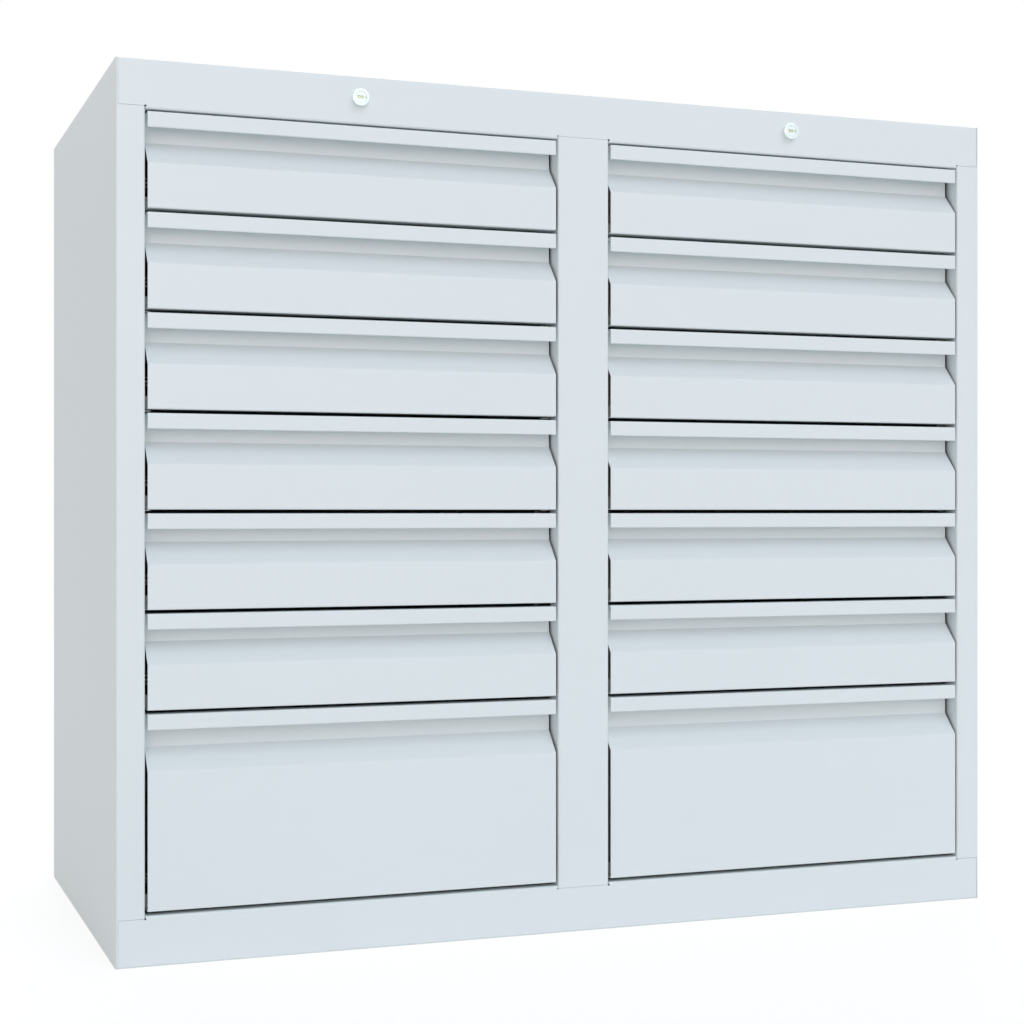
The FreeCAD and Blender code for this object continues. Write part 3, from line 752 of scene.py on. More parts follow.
def new_material(name, **values):
    """A material with its Principled shader's plain values set."""
    material = bpy.data.materials.new(name + FINISH)
    material.use_nodes = True
    shader = material.node_tree.nodes["Principled BSDF"]
    set_sockets(shader, values)
    return material, material.node_tree, shader


def between(tree, mask, low, high):
    """A value that goes from low to high with a mask."""
    made = node(tree, "ShaderNodeMapRange", To_Min=low, To_Max=high)
    tree.links.new(mask, made.inputs["Value"])
    return made.outputs["Result"]


def colour_by(tree, shader, mask, tint, tones):
    """A base colour that goes with a mask between two tones, each given in shares of the tint."""
    made = tree.nodes.new("ShaderNodeMix")
    made.data_type = "RGBA"
    for key, tone in zip("AB", tones):
        made.inputs[key].default_value = (*(min(1.0, part * much) for part, much in zip(tint, tone)), 1.0)
    tree.links.new(mask, made.inputs["Factor"])
    tree.links.new(made.outputs["Result"], shader.inputs["Base Color"])


def roughness_by(tree, shader, mask, low, high):
    tree.links.new(between(tree, mask, low, high), shader.inputs["Roughness"])


def bump(tree, shader, height, distance):
    """Fine relief in the surface, from a height."""
    made = node(tree, "ShaderNodeBump", Distance=distance)
    tree.links.new(height, made.inputs["Height"])
    tree.links.new(made.outputs["Normal"], shader.inputs["Normal"])


def powder_coat(name, tint, finish):
    """Satin powder coat: fine orange peel and a slow change of tone."""
    tree, shader = new_material(name, Specular_IOR_Level=0.5)[1:]
    grain = use_group(tree, "Powder coat grain", Grain_Size=finish.grain_size)
    rough = finish.paint_roughness
    colour_by(tree, shader, grain.outputs["Tone"], tint, PAINT_TONES)
    roughness_by(tree, shader, grain.outputs["Tone"], rough - PAINT_CLOUD, rough + PAINT_CLOUD)
    bump(tree, shader, grain.outputs["Height"], finish.grain_depth)


def galvanised(name, tint):
    """Galvanised sheet with its crystals."""
    tree, shader = new_material(name, Metallic=1.0)[1:]
    spangle = use_group(tree, "Galvanised spangle")
    colour_by(tree, shader, spangle.outputs["Tone"], tint, ZINC_TONES)
    roughness_by(tree, shader, spangle.outputs["Tone"], *ZINC_ROUGHNESS)
    bump(tree, shader, spangle.outputs["Height"], ZINC_DEPTH)


def plated(name, tint, line_size):
    """Bright zinc over drawn strip, clouded a little yellow and blue."""
    tree, shader = new_material(name, Metallic=1.0)[1:]
    drawn = use_group(tree, "Drawn strip", Line_Size=line_size)
    colour_by(tree, shader, drawn.outputs["Cloud"], tint, PLATE_TONES)
    roughness_by(tree, shader, drawn.outputs["Lines"], *PLATE_ROUGHNESS)
    bump(tree, shader, drawn.outputs["Lines"], PLATE_DEPTH)


def polished(name, tint, line_size):
    """Polished chrome with a faint cloud of tone and finger haze."""
    tree, shader = new_material(name, Metallic=1.0)[1:]
    drawn = use_group(tree, "Drawn strip", Line_Size=line_size)
    colour_by(tree, shader, drawn.outputs["Cloud"], tint, CHROME_TONES)
    roughness_by(tree, shader, drawn.outputs["Cloud"], *CHROME_ROUGHNESS)


def material_of(slot):
    return bpy.data.materials[slot + FINISH]


class CABINET_OT_finishes(bpy.types.Operator):
    """Make the finishes and put them on the fixed parts"""
    bl_idname = "cabinet.finishes"
    bl_label = "Finishes"

    def execute(self, context):
        finish = settings().finish
        for make in (powder_group, spangle_group, drawn_group):
            make()
        powder_coat("casing_paint", finish.paint, finish)
        powder_coat("front_paint", finish.paint, finish)
        powder_coat("tray_paint", finish.tray_paint, finish)
        galvanised("bracket_zinc", finish.galvanised)
        plated("slide_zinc", finish.zinc, SLIDE_LINES)
        plated("screw_zinc", finish.zinc, SCREW_LINES)
        plated("brass", finish.brass, BRASS_LINES)
        polished("lock_chrome", finish.chrome, CHROME_LINES)
        for part in frame["record"]["subparts"]:
            mesh = frame["nodes"][part["node"]].data
            mesh.materials.clear()
            mesh.materials.append(material_of(part["material_slot"]))
        return {"FINISHED"}


# --- Drawer fronts -------------------------------------------------------------------------

def beside(points, distance):
    """The line of (u, v) points that runs beside another one, a distance to its left."""
    ways = [(after - before).normalized() for before, after in zip(points, points[1:])]
    sides = [Vector((-way.y, way.x)) for way in ways]
    result = []
    for point, before, after in zip(points, sides[:1] + sides, sides + sides[-1:]):
        result.append(point + (before + after) * distance / (1 + before.dot(after)))
    return result


def front_lines(low, high, deep):
    """The line of a front's sheet in its section, its end cap's four corners, and a hem's width."""
    metal = settings().metal
    sizes = settings().fronts
    sheet = metal.front_sheet
    back = high.y - low.y
    grip = back - sheet
    fold = high.z - sizes.grip_wall - (sizes.deep_extra if deep else 0.0)
    outline = [Vector(pair) for pair in (
        (grip, high.z), (grip, fold), (0.0, fold - sizes.grip_slope), (0.0, low.z),
        (back, low.z), (back, low.z + sizes.upturn))]
    core = beside(outline, sheet / 2)
    inner = beside(outline, sheet)
    hem = sheet + metal.hem_gap
    lip_foot = high.z - sizes.lip_height + sheet / 2
    lip = [Vector(pair) for pair in (
        (sheet / 2 + hem, lip_foot + sizes.lip_hem), (sheet / 2 + hem, lip_foot), (sheet / 2, lip_foot),
        (sheet / 2, high.z - sheet / 2), (core[0].x, high.z - sheet / 2))]
    return lip + core[1:], inner[1:5], hem


def front_piece(name, node_name, deep):
    """A front: one folded sheet, closed near its ends below the grip."""
    metal = settings().metal
    low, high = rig.box(node_name)
    section, cap, hem = front_lines(low, high, deep)
    points = [Vector((low.x, low.y + p.x, p.y)) for p in section]
    radii = [hem / 2, hem / 2] + [metal.front_bend] * (len(points) - 4)
    front_width = Vector((high.x - low.x, 0, 0))
    front = folded_sheet(name, points, radii, front_width, metal.front_sheet, metal.fold_steps)
    soften(front, metal.cut_edge)
    setback = settings().fronts.cap_setback
    caps = []
    for x, way in ((low.x + setback, 1), (high.x - setback, -1)):
        corners = [Vector((x, low.y + p.x, p.y)) for p in cap]
        caps.append(plate(name + "_cap", corners, Vector((way * metal.front_sheet, 0, 0))))
        soften(caps[-1], metal.cut_edge / 2)
    return join(name, [front] + caps)


class CABINET_OT_fronts(bpy.types.Operator):
    """Fold a front for each drawer"""
    bl_idname = "cabinet.fronts"
    bl_label = "Drawer fronts"

    def execute(self, context):
        models = {}
        for column, row in DRAWERS:
            place = f"{column}_{row}"
            node_name = "drawer_front_" + place
            deep = row == DEEP_ROW
            name = "front_" + place
            front = made_once(models, deep, name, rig.box(node_name)[0],
                              lambda: front_piece(name, node_name, deep))
            dress(front, "drawer_" + place, "front_paint", node_name)
        return {"FINISHED"}


# --- Casing --------------------------------------------------------------------------------

def notch_ends():
    """Where the stiles and the mullion end behind the plinth and the header."""
    notch = settings().casing.notch
    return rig.box("bottom_panel")[1].z - notch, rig.box("top_panel")[0].z + notch


def side_panel():
    """The left side: stile with its return, web and rear flange, notched at header and plinth."""
    metal = settings().metal
    sizes = settings().casing
    low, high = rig.box("side_panel_left")
    half = metal.casing_sheet / 2
    points = [Vector(spot) for spot in (
        (high.x - half, low.y + sizes.stile_return, low.z), (high.x - half, low.y + half, low.z),
        (low.x + half, low.y + half, low.z), (low.x + half, high.y - half, low.z),
        (low.x + sizes.rear_flange, high.y - half, low.z))]
    sweep = Vector((0, 0, high.z - low.z))
    panel = folded_sheet("side_left", points, [metal.casing_bend] * 3, sweep,
                         metal.casing_sheet, metal.fold_steps)
    soften(panel, metal.cut_edge)
    across = (low.x + sizes.edge_strip, high.x + half)
    along = (low.y - half, low.y + sizes.stile_return + half)
    foot, head = notch_ends()
    cut_away(panel, [between_spans("foot_cut", across, along, (low.z - half, foot)),
                     between_spans("head_cut", across, along, (head, high.z + half))])
    shade(panel)
    return panel


def hollow_box(name, low, high, radius, sheet, upright_only=False):
    """A closed sheet-metal box with rounded folds."""
    piece = block(name, low, high)
    edit(piece)

    def fold(edge):
        way = edge.verts[0].co - edge.verts[1].co
        return not upright_only or abs(way.z) > abs(way.x) + abs(way.y)

    pick(piece, "EDGE", fold)
    bpy.ops.mesh.bevel(offset=radius, segments=settings().metal.fold_steps, affect="EDGES")
    if upright_only:
        pick(piece, "FACE", lambda face: abs(face.normal.z) > LEVEL_FACE)
        bpy.ops.mesh.delete(type="FACE")
    stop_editing()
    add_modifier(piece, "SOLIDIFY", thickness=sheet, offset=-1.0, use_even_offset=True)
    return piece


def fascia_pan(name, node_name, at_top):
    """Top or bottom of the casing: a shallow pan whose front wall is the header or plinth."""
    metal = settings().metal
    sizes = settings().casing
    low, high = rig.box(node_name)
    spare = sizes.pan_flange
    pan = hollow_box(name, low, high, sizes.pan_radius, metal.casing_sheet)
    to_middle = -spare if at_top else spare
    cut_away(pan, [between_spans("open_side", (low.x - spare, high.x + spare),
                                 (low.y + sizes.fascia_return, high.y + spare),
                                 (low.z + to_middle, high.z + to_middle))])
    soften(pan, metal.cut_edge)
    outer = -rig.box("side_panel_left")[1].x - sizes.seam
    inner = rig.box("centre_mullion")[1].x + sizes.seam
    edge_z = low.z if at_top else high.z
    deep = (sizes.notch + sizes.seam) * (1 if at_top else -1)
    along = (low.y - spare, low.y + sizes.fascia_return + sizes.seam)
    upright = sorted((edge_z - deep, edge_z + deep))
    cutters = [between_spans("notch", across, along, upright)
               for across in ((low.x - spare, -outer), (-inner, inner), (outer, high.x + spare))]
    holes = [(x, edge_z + deep, sizes.relief) for x in (-outer, -inner, inner, outer)]
    if at_top:
        holes += [(place.x, place.z, sizes.lock_hole) for place in lock_places().values()]
    for x, z, radius in holes:
        end = Vector((x, low.y + sizes.pan_radius, z))
        cutters.append(cylinder("hole", Vector((x, low.y - spare, z)), end, radius))
    strip_end = -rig.box("side_panel_left")[0].x - sizes.edge_strip - sizes.strip_gap
    along = (low.y - spare, low.y + metal.casing_sheet + sizes.strip_gap)
    upright = (low.z - spare, high.z + spare)
    cutters += [between_spans("strip", across, along, upright)
                for across in ((low.x - spare, -strip_end), (strip_end, high.x + spare))]
    for cutter in cutters:
        cut_away(pan, [cutter])
    shade(pan)
    return pan


def mullion():
    """The post between the columns, its front wall cut away behind header and plinth."""
    metal = settings().metal
    sizes = settings().casing
    low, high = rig.box("centre_mullion")
    spare = sizes.pan_flange
    post = hollow_box("mullion", low, high, sizes.pan_radius, metal.casing_sheet, upright_only=True)
    soften(post, metal.cut_edge)
    across = (low.x - spare, high.x + spare)
    along = (low.y - spare, low.y + metal.casing_sheet)
    foot, head = notch_ends()
    for upright in ((low.z - spare, foot), (head, high.z + spare)):
        cut_away(post, [between_spans("cut", across, along, upright)])
    shade(post)
    return post


class CABINET_OT_casing(bpy.types.Operator):
    """Fold the sides, the two pans and the mullion"""
    bl_idname = "cabinet.casing"
    bl_label = "Casing"

    def execute(self, context):
        left = side_panel()
        right = mirror_copy(left, "side_right")
        pieces = (
            (left, "side_panel_left"), (right, "side_panel_right"),
            (fascia_pan("top_and_header", "top_panel", True), "top_panel"),
            (fascia_pan("base_and_plinth", "bottom_panel", False), "bottom_panel"),
            (mullion(), "centre_mullion"))
        for piece, node_name in pieces:
            dress(piece, "casing", "casing_paint", node_name)
        return {"FINISHED"}


# --- Small screws --------------------------------------------------------------------------

def small_screw(name, seat, out, shank_length):
    """A pan-head screw with a cross recess, its seat at a point and its head facing out."""
    sizes = settings().locks
    head = sizes.screw_head
    rise = sizes.screw_rise
    shank = sizes.screw_shank
    profile = [(head * wide, rise * high) for wide, high in SCREW_DOME]
    profile += [(shank, 0.0), (shank, -shank_length), (0.0, -shank_length)]
    piece = turned(name, profile, Vector((0, 0, 0)), UP, SCREW_SIDES)
    arm = head * RECESS_ARM
    slim = head * RECESS_SLIM
    for reach in (Vector((arm, slim, 0)), Vector((slim, arm, 0))):
        cut_away(piece, [block("recess", UP * rise * RECESS_FOOT - reach,
                               UP * rise * RECESS_TOP + reach)])
    shade(piece, SHARP_ABOVE_TURNED)
    select_only(piece)
    piece.rotation_euler = out.to_track_quat("Z", "Y").to_euler()
    piece.location = seat
    apply_place(piece)
    return piece


class CABINET_OT_back(bpy.types.Operator):
    """Model the back panel and the screws that hold it"""
    bl_idname = "cabinet.back"
    bl_label = "Back panel"

    def execute(self, context):
        sizes = settings().locks
        low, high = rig.box("back_panel_screws")
        panel_low, panel_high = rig.box("back_panel")
        inset = sizes.screw_head
        row = settings().casing.back_screws
        first = Vector((low.x + inset, panel_high.y, low.z + inset))
        across = (high.x - low.x - 2 * inset) / (row - 1)
        upward = high.z - low.z - 2 * inset
        shifts = [Vector((i * across, 0, z)) for i in range(row) for z in (0.0, upward)]
        depth = Vector((0, settings().metal.casing_sheet * 2, 0))
        panel = block("back", panel_low, panel_high)
        cut_away(panel, [cylinder("hole", first + shift - depth, first + shift + depth,
                                  sizes.screw_hole, SCREW_HOLE_SIDES) for shift in shifts])
        soften(panel, settings().metal.cut_edge)
        dress(panel, "casing", "casing_paint", "back_panel")
        model = small_screw("screw", first, Vector((0, 1, 0)), panel_high.y - low.y)
        copies = [copy_at(model, "screw_copy", shift) for shift in shifts[1:]]
        screws = join("back_screws", [model] + copies)
        dress(screws, "casing", "screw_zinc", "back_panel_screws")
        return {"FINISHED"}


# --- Drawer trays and slides ---------------------------------------------------------------

def slide_planes(column, row):
    """The planes that a drawer's slides are fixed on, each with the way to the drawer."""
    low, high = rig.box(f"drawer_front_{column}_{row}")
    gap = settings().trays.side_gap
    return (low.x - gap, 1), (high.x + gap, -1)


def tray_sheets(name, column, row):
    """A tray: folded base and sides with hemmed rims, end walls, and the lanes' dividers."""
    metal = settings().metal
    sizes = settings().trays
    front_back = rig.box(f"drawer_front_{column}_{row}")[1].y
    low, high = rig.box(f"drawer_tray_{column}_{row}")
    planes = slide_planes(column, row)
    left = planes[0][0] + sizes.slide_thickness
    right = planes[1][0] - sizes.slide_thickness
    sheet = metal.tray_sheet
    half = sheet / 2
    leg = sheet + metal.hem_gap
    inside = (front_back + sheet, high.y - sheet)
    top = high.z - half
    base = low.z + half
    section = ((left + half + leg, top - sizes.rim_hem), (left + half + leg, top), (left + half, top),
               (left + half, base), (right - half, base), (right - half, top),
               (right - half - leg, top), (right - half - leg, top - sizes.rim_hem))
    points = [Vector((x, inside[0], z)) for x, z in section]
    radii = [leg / 2, leg / 2, metal.tray_bend, metal.tray_bend, leg / 2, leg / 2]
    sweep = Vector((0, inside[1] - inside[0], 0))
    body = folded_sheet(name, points, radii, sweep, sheet, metal.fold_steps)
    walls = [block("wall", Vector((left, front_back, low.z)), Vector((right, inside[0], high.z))),
             block("wall", Vector((left, inside[1], low.z)), Vector((right, high.y, high.z)))]
    for wall in walls:
        edit(wall)
        pick(wall, "EDGE", lambda edge: max(abs(v.co.z - low.z) for v in edge.verts) < TOUCHING
             and abs(edge.verts[0].co.x - edge.verts[1].co.x) < TOUCHING)
        bpy.ops.mesh.bevel(offset=metal.tray_bend + half, segments=metal.fold_steps, affect="EDGES")
        stop_editing()
    if row != DEEP_ROW:
        step = (right - left) / (sizes.divider_count + 1)
        thick = sizes.divider_sheet / 2
        for i in range(1, sizes.divider_count + 1):
            x = left + i * step
            walls.append(block("divider", Vector((x - thick, inside[0], low.z + sheet)),
                               Vector((x + thick, inside[1], low.z + sheet + sizes.divider_height))))
    tray = join(name, [body] + walls)
    soften(tray, metal.cut_edge / 2)
    return tray


def channel_member(name, plane, centre_z, y_span, half_height, web, reach):
    """A C-section member of a slide."""
    sizes = settings().slides
    plane_x, way = plane
    level = half_height - sizes.sheet / 2
    points = [Vector((plane_x + way * u, y_span[0], centre_z + v))
              for u, v in ((reach, level), (web, level), (web, -level), (reach, -level))]
    sweep = Vector((0, y_span[1] - y_span[0], 0))
    return folded_sheet(name, points, [sizes.bend] * 2, sweep, sizes.sheet, SLIDE_FOLD_STEPS)


def slide_middle(column, row):
    """The height of the middle of a drawer's slides, and where they start and end."""
    low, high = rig.box(f"slide_middles_{column}_{row}")
    return (low.z + high.z) / 2, (low.y, high.y)


def slides_place(column, row):
    """The left end of a drawer's front, at the height of the middle of its slides."""
    return Vector((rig.box(f"drawer_front_{column}_{row}")[0].x, 0, slide_middle(column, row)[0]))


def runners(name, column, row):
    """The inner members on both sides of a tray."""
    sizes = settings().slides
    centre_z, y_span = slide_middle(column, row)
    web = settings().trays.slide_thickness - sizes.sheet / 2
    half = sizes.inner_height / 2
    piece = join(name, [channel_member(name, plane, centre_z, y_span, half, web, sizes.inner_reach)
                        for plane in slide_planes(column, row)])
    soften(piece, settings().metal.cut_edge / 2)
    return piece


def ball_cage(plane, centre_z, level, middle, y_span):
    """A thin strip with a row of balls: its level is that of the balls' middles."""
    sizes = settings().slides
    plane_x, way = plane
    x = plane_x + way * middle
    z = centre_z + level
    reach = Vector((sizes.cage_width / 2, 0, sizes.cage_sheet / 2))
    pieces = [block("cage", Vector((x, y_span[0], z)) - reach, Vector((x, y_span[1], z)) + reach)]
    ball_count = int((y_span[1] - y_span[0]) / sizes.ball_pitch)
    first = (y_span[0] + y_span[1] - (ball_count - 1) * sizes.ball_pitch) / 2
    ball = start(bpy.ops.mesh.primitive_ico_sphere_add, subdivisions=2, radius=sizes.race / 2,
                 location=(x, first, z))
    balls = settle(ball, "balls")
    add_modifier(balls, "ARRAY", count=ball_count, use_relative_offset=False, use_constant_offset=True,
                 constant_offset_displace=(0, sizes.ball_pitch, 0))
    return pieces + [balls]


def middles(name, column, row):
    """The middle members of a drawer's slides with their cages and balls."""
    sizes = settings().slides
    centre_z, y_span = slide_middle(column, row)
    half = sizes.middle_height / 2
    inner_level = half - sizes.sheet - sizes.race / 2
    outer_level = half + sizes.race / 2
    middle = (y_span[0] + y_span[1]) / 2
    rear = (middle + sizes.cage_inset, y_span[1] - sizes.cage_inset)
    front = (y_span[0] + sizes.cage_inset, middle - sizes.cage_inset)
    pieces = []
    for plane in slide_planes(column, row):
        member = channel_member("member", plane, centre_z, y_span, half,
                                sizes.middle_web, sizes.middle_reach)
        soften(member, settings().metal.cut_edge / 2)
        pieces.append(member)
        for side in (1, -1):
            pieces += ball_cage(plane, centre_z, side * outer_level, sizes.outer_balls, rear)
            pieces += ball_cage(plane, centre_z, side * inner_level, sizes.inner_balls, front)
    piece = join(name, pieces)
    shade(piece)
    return piece


def tray_fixings(name, column, row):
    """The screws that hold the inner members, and the catch that the lock's bar stops."""
    sizes = settings().trays
    slides = settings().slides
    sheet = settings().metal.tray_sheet
    centre_z, y_span = slide_middle(column, row)
    planes = slide_planes(column, row)
    to_rear = Vector((0, y_span[1] - y_span[0] - 2 * slides.screw_inset, 0))
    pieces = []
    for plane_x, way in planes:
        seat = Vector((plane_x + way * (sizes.slide_thickness + sheet), y_span[0] + slides.screw_inset,
                       centre_z))
        screw = small_screw("screw", seat, Vector((way, 0, 0)), sheet + slides.sheet)
        pieces += [screw, copy_at(screw, "screw_copy", to_rear)]
    plane_x, way = planes[1] if column == "left" else planes[0]
    side_x = plane_x + way * sizes.slide_thickness
    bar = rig.box("locking_bar_" + column)
    front = bar[1].y + settings().metal.front_sheet / 2
    half = sizes.catch_sheet / 2
    foot_z = centre_z + sizes.catch_rise
    points = [Vector((side_x - way * sizes.catch_reach, front + half, foot_z)),
              Vector((side_x - way * half, front + half, foot_z)),
              Vector((side_x - way * half, front + sizes.catch_foot, foot_z))]
    catch = folded_sheet("catch", points, [sizes.catch_bend], UP * sizes.catch_height,
                         sizes.catch_sheet, CATCH_FOLD_STEPS)
    soften(catch, settings().metal.cut_edge)
    return join(name, pieces + [catch])


class CABINET_OT_trays(bpy.types.Operator):
    """Fold a tray for each drawer, with its runners, screws and lock catch"""
    bl_idname = "cabinet.trays"
    bl_label = "Trays"

    def execute(self, context):
        # Only the fixings differ between the columns: a catch stands beside its column's bar
        makers = (("tray", tray_sheets, "tray_paint", False), ("runners", runners, "slide_zinc", False),
                  ("tray_fixings", tray_fixings, "bracket_zinc", True))
        models = {}
        for column, row in DRAWERS:
            place = f"{column}_{row}"
            for kind, make, slot, handed in makers:
                name = f"{kind}_{place}"
                key = (kind, handed and column, row == DEEP_ROW)
                piece = made_once(models, key, name, slides_place(column, row),
                                  lambda: make(name, column, row))
                dress(piece, "drawer_" + place, slot, "drawer_tray_" + place)
        return {"FINISHED"}


def outer_members(name):
    """The fixed members of all the slides: one drawer's pair is folded and copied for the others."""
    sizes = settings().slides
    web = sizes.sheet / 2
    half = sizes.outer_height / 2
    first = slides_place(*DRAWERS[0])
    centre_z, y_span = slide_middle(*DRAWERS[0])
    model = join("outer_pair", [
        channel_member("outer", plane, centre_z, y_span, half, web, sizes.outer_reach)
        for plane in slide_planes(*DRAWERS[0])])
    soften(model, settings().metal.cut_edge / 2)
    copies = [copy_at(model, "outer_pair", slides_place(*drawer) - first) for drawer in DRAWERS[1:]]
    return join(name, [model] + copies)


class CABINET_OT_slides(bpy.types.Operator):
    """Model the members, cages and balls of the drawer slides"""
    bl_idname = "cabinet.slides"
    bl_label = "Slides"

    def execute(self, context):
        dress(outer_members("outer_members"), "casing", "slide_zinc", "slide_outer_members")
        models = {}
        for column, row in DRAWERS:
            name = f"middles_{column}_{row}"
            piece = made_once(models, "middles", name, slides_place(column, row),
                              lambda: middles(name, column, row))
            dress(piece, "slide_" + name, "slide_zinc", "slide_" + name)
        return {"FINISHED"}


# --- Locks ---------------------------------------------------------------------------------

def lock_places():
    """Where each column's lock turns, in the plane of the header's face."""
    return {joint["child"].replace("lock_plug_", ""): Vector(joint["pos_m"])
            for joint in frame["joints"] if joint["child"].startswith("lock_plug_")}


def lock_body(name, place):
    """The lock's flanged barrel with its bore, and the nut behind the header."""
    sizes = settings().locks
    bore = sizes.plug_radius + sizes.plug_play
    outer = sizes.head_radius
    barrel = sizes.body_radius
    top = sizes.head_proud
    foot = -sizes.body_length
    soft = sizes.head_round
    turns = [math.radians(90 * i / RIM_STEPS) for i in range(RIM_STEPS + 1)]
    rim = [(outer - soft + soft * math.sin(turn), top - soft + soft * math.cos(turn)) for turn in turns]
    bevel = soft / 3
    profile = [(bore, foot), (bore, top - bevel), (bore + bevel, top), *rim,
               (outer, 0.0), (barrel, 0.0), (barrel, foot), (bore, foot)]
    body = turned(name, profile, place, OUT, LOCK_SIDES)
    shade(body, SHARP_ABOVE_TURNED)
    seat = place - OUT * settings().metal.casing_sheet
    depth = OUT * sizes.nut_height
    nut = cylinder("nut", seat, seat - depth, sizes.nut_corner, HEXAGON)
    cut_away(nut, [cylinder("bore", seat + depth, seat - depth * 2, barrel + sizes.nut_play)])
    soften(nut, settings().metal.cut_edge)
    return join(name, [body, nut])


def lock_core(name, place):
    """The turning plug with its keyway, and the cam, pin and screw at its tail."""
    sizes = settings().locks
    face = sizes.head_proud - sizes.plug_drop
    soft = settings().metal.cut_edge
    tail = sizes.body_length + soft
    radius = sizes.plug_radius
    profile = ((0.0, face), (radius - soft, face), (radius, face - soft), (radius, -tail), (0.0, -tail))
    plug = turned(name, profile, place, OUT, LOCK_SIDES)
    along = (place.y - sizes.head_proud, place.y - face + sizes.keyway_depth)
    for left, right, half in KEYWAY:
        cut_away(plug, [between_spans("keyway", (place.x + left, place.x + right), along,
                                      (place.z - half, place.z + half))])
    shade(plug, SHARP_ABOVE_TURNED)
    foot = place - OUT * tail
    back = foot - OUT * sizes.cam_sheet
    throw = Vector((math.cos(sizes.cam_turn), 0, math.sin(sizes.cam_turn))) * sizes.cam_throw
    pin_end = Vector((place.x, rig.box("lock_plug_left")[1].y, place.z)) + throw
    cam = cylinder("cam", foot, back, sizes.cam_hub)
    end = cylinder("cam_end", foot + throw, back + throw, sizes.cam_end)
    add_modifier(cam, "BOOLEAN", operation="UNION", object=end, solver="EXACT")
    bpy.data.objects.remove(end)
    shade(cam)
    small = [cylinder("pin", back + throw, pin_end, sizes.pin_radius, PIN_SIDES),
             cylinder("cam_screw", back, back - OUT * sizes.cam_screw_rise, sizes.cam_screw, HEXAGON)]
    for part in small:
        soften(part, soft)
    return join(name, [plug, cam] + small)


def wafers(name, place):
    """The brass wafers that stand in the keyway, one behind the other."""
    sizes = settings().locks
    front = place.y - sizes.head_proud + sizes.plug_drop
    play = sizes.wafer_play
    pieces = []
    for i in range(sizes.wafer_count):
        y = front + sizes.wafer_drop + i * sizes.wafer_step
        for left, right, half in KEYWAY:
            pieces.append(between_spans("wafer", (place.x + left + play, place.x + right - play),
                                        (y, y + sizes.wafer_step / 2),
                                        (place.z - half + play, place.z + half - play)))
    wafer_stack = join(name, pieces)
    soften(wafer_stack, settings().metal.cut_edge / 2)
    return wafer_stack


class CABINET_OT_locks(bpy.types.Operator):
    """Turn the locks' bodies and plugs"""
    bl_idname = "cabinet.locks"
    bl_label = "Locks"

    def execute(self, context):
        places = lock_places()
        models = {}

        def made(kind, make, column):
            name = f"lock_{kind}_{column}"
            return made_once(models, kind, name, places[column], lambda: make(name, places[column]))

        bodies = join("lock_bodies", [made("body", lock_body, column) for column in COLUMNS])
        dress(bodies, "casing", "lock_chrome", "lock_housings")
        for column in COLUMNS:
            plug = "lock_plug_" + column
            dress(made("core", lock_core, column), plug, "lock_chrome", plug)
            dress(made("wafers", wafers, column), plug, "lock_chrome", plug, "brass")
        return {"FINISHED"}


# --- Stage ---------------------------------------------------------------------------------

def seen_rays(tree):
    """1 for what the camera and reflections see, 0 for the light that falls on things."""
    path = tree.nodes.new("ShaderNodeLightPath")
    seen = maths(tree, "MAXIMUM", path.outputs["Is Camera Ray"], path.outputs["Is Glossy Ray"])
    return maths(tree, "MAXIMUM", seen, path.outputs["Is Transmission Ray"])


def make_world(ambient):
    """Soft light from all around, seen as plain white."""
    world = bpy.data.worlds.new("Studio")
    world.use_nodes = True
    tree = world.node_tree
    background = tree.nodes["Background"]
    background.inputs["Color"].default_value = (1.0, 1.0, 1.0, 1.0)
    level = between(tree, seen_rays(tree), ambient, 1.0)
    tree.links.new(level, background.inputs["Strength"])
    bpy.context.scene.world = world


def make_floor(stage):
    """A white floor, with part of it seen as plain white and the rest keeping its shadows."""
    floor = start(bpy.ops.mesh.primitive_plane_add, size=stage.floor_size, location=(0, 0, 0))
    floor.name = "floor"
    material, tree, shader = new_material("floor_white", Roughness=FLOOR_ROUGHNESS)
    shader.inputs["Base Color"].default_value = (*stage.floor_colour, 1.0)
    white = node(tree, "ShaderNodeEmission", Strength=stage.floor_glow)
    mix = tree.nodes.new("ShaderNodeMixShader")
    tree.links.new(maths(tree, "MULTIPLY", seen_rays(tree), stage.floor_white), mix.inputs["Fac"])
    tree.links.new(shader.outputs["BSDF"], mix.inputs[1])
    tree.links.new(white.outputs["Emission"], mix.inputs[2])
    tree.links.new(mix.outputs["Shader"], tree.nodes["Material Output"].inputs["Surface"])
    floor.data.materials.append(material)
    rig.stage(floor)


def make_lamp(name, angles, power, tint):
    """A broad far lamp, from its turn, its height and its spread."""
    turn, height, spread = (math.radians(part) for part in angles)
    data = bpy.data.lights.new(name, "SUN")
    data.energy = power
    data.angle = spread
    data.color = tint
    lamp = bpy.data.objects.new(name, data)
    bpy.context.scene.collection.objects.link(lamp)
    level = math.cos(height)
    place = Vector((math.sin(turn) * level, -math.cos(turn) * level, math.sin(height)))
    lamp.location = place * LAMP_DISTANCE
    lamp.rotation_euler = place.to_track_quat("Z", "Y").to_euler()


def make_camera(stage):
    """A level camera with upright lines kept upright."""
    data = bpy.data.cameras.new("camera")
    data.sensor_width = SENSOR_WIDTH
    data.lens = stage.camera_lens
    data.shift_x = stage.camera_shift
    data.dof.use_dof = False
    data.clip_end = VIEW_END
    camera = bpy.data.objects.new("camera", data)
    bpy.context.scene.collection.objects.link(camera)
    camera.location = stage.camera_place
    camera.rotation_euler = (math.radians(90), 0.0, -stage.camera_turn)
    bpy.context.scene.camera = camera


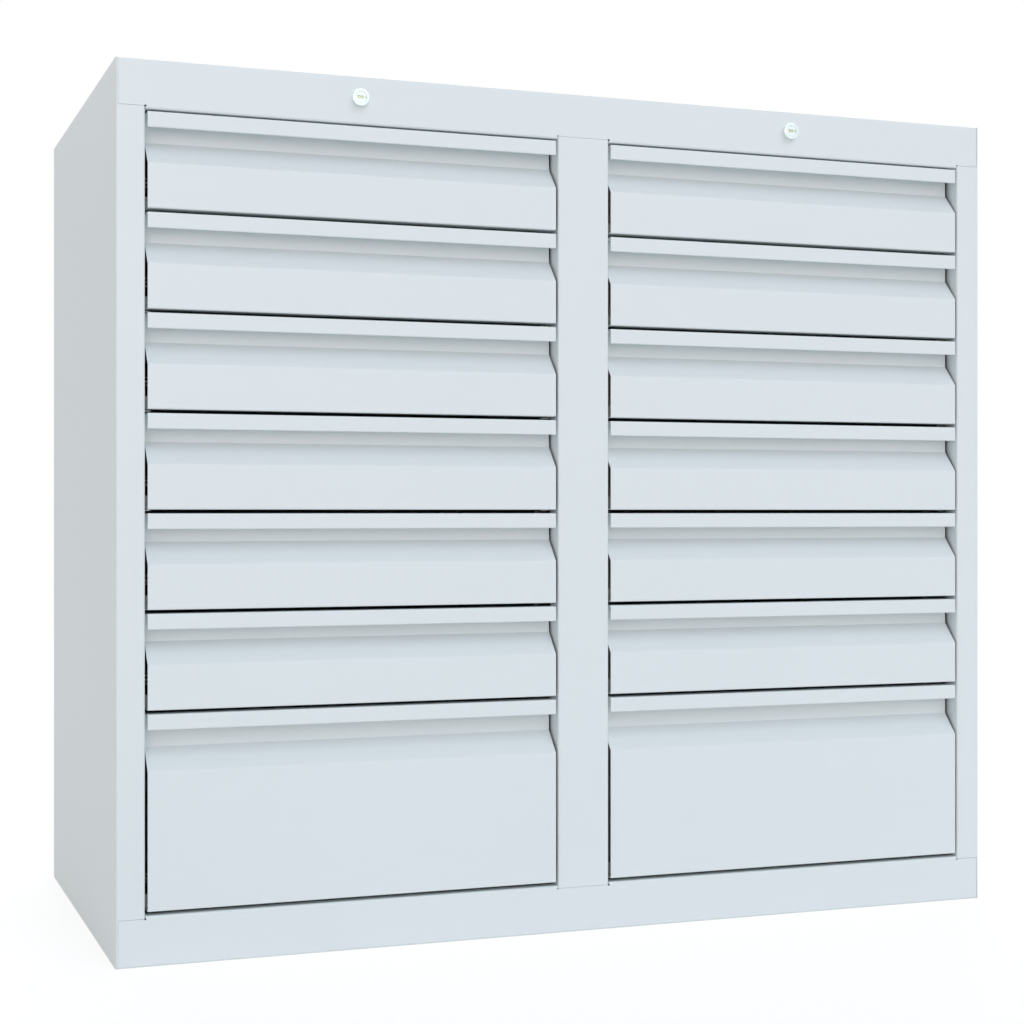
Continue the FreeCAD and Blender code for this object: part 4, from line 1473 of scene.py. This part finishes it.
class CABINET_OT_stage(bpy.types.Operator):
    """Set up the camera, the floor and the lights"""
    bl_idname = "cabinet.stage"
    bl_label = "Stage"

    def execute(self, context):
        stage = settings().stage
        context.scene.view_settings.view_transform = "Standard"
        make_camera(stage)
        make_floor(stage)
        make_world(stage.ambient)
        make_lamp("top_lamp", TOP_LAMP, stage.top_power, stage.cool_tint)
        make_lamp("low_lamp", LOW_LAMP, stage.low_power, stage.warm_tint)
        make_lamp("rear_lamp", REAR_LAMP, stage.rear_power, stage.rear_tint)
        return {"FINISHED"}


# --- Panel and registration ----------------------------------------------------------------

STEPS = (CABINET_OT_finishes, CABINET_OT_fronts, CABINET_OT_casing, CABINET_OT_back, CABINET_OT_trays,
         CABINET_OT_slides, CABINET_OT_locks, CABINET_OT_stage)


class CABINET_PT_panel(bpy.types.Panel):
    """Lists the steps that model the cabinet"""
    bl_idname = "CABINET_PT_panel"
    bl_label = "Slide cabinet"
    bl_space_type = "VIEW_3D"
    bl_region_type = "UI"
    bl_category = "Cabinet"

    def draw(self, context):
        for step in STEPS:
            self.layout.operator(step.bl_idname)


CLASSES = (CabinetSheetMetal, CabinetFronts, CabinetCasing, CabinetTrays, CabinetSlides,
           CabinetLocks, CabinetFinish, CabinetStage, CabinetSettings,
           *STEPS, CABINET_PT_panel)


def register():
    for item in CLASSES:
        bpy.utils.register_class(item)
    bpy.types.Scene.slide_cabinet = PointerProperty(type=CabinetSettings)


def unregister():
    del bpy.types.Scene.slide_cabinet
    for item in reversed(CLASSES):
        bpy.utils.unregister_class(item)


def main():
    register()
    bpy.ops.cabinet.finishes()
    bpy.ops.cabinet.fronts()
    bpy.ops.cabinet.casing()
    bpy.ops.cabinet.back()
    bpy.ops.cabinet.trays()
    bpy.ops.cabinet.slides()
    bpy.ops.cabinet.locks()
    bpy.ops.cabinet.stage()
    boxes = {"cad": cad_box, "visual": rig.bounds()}
    with open("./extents.json", "w") as f:
        json.dump({key: [list(corner) for corner in box] for key, box in boxes.items()}, f, indent=1)


if __name__ == "__main__":
    main()
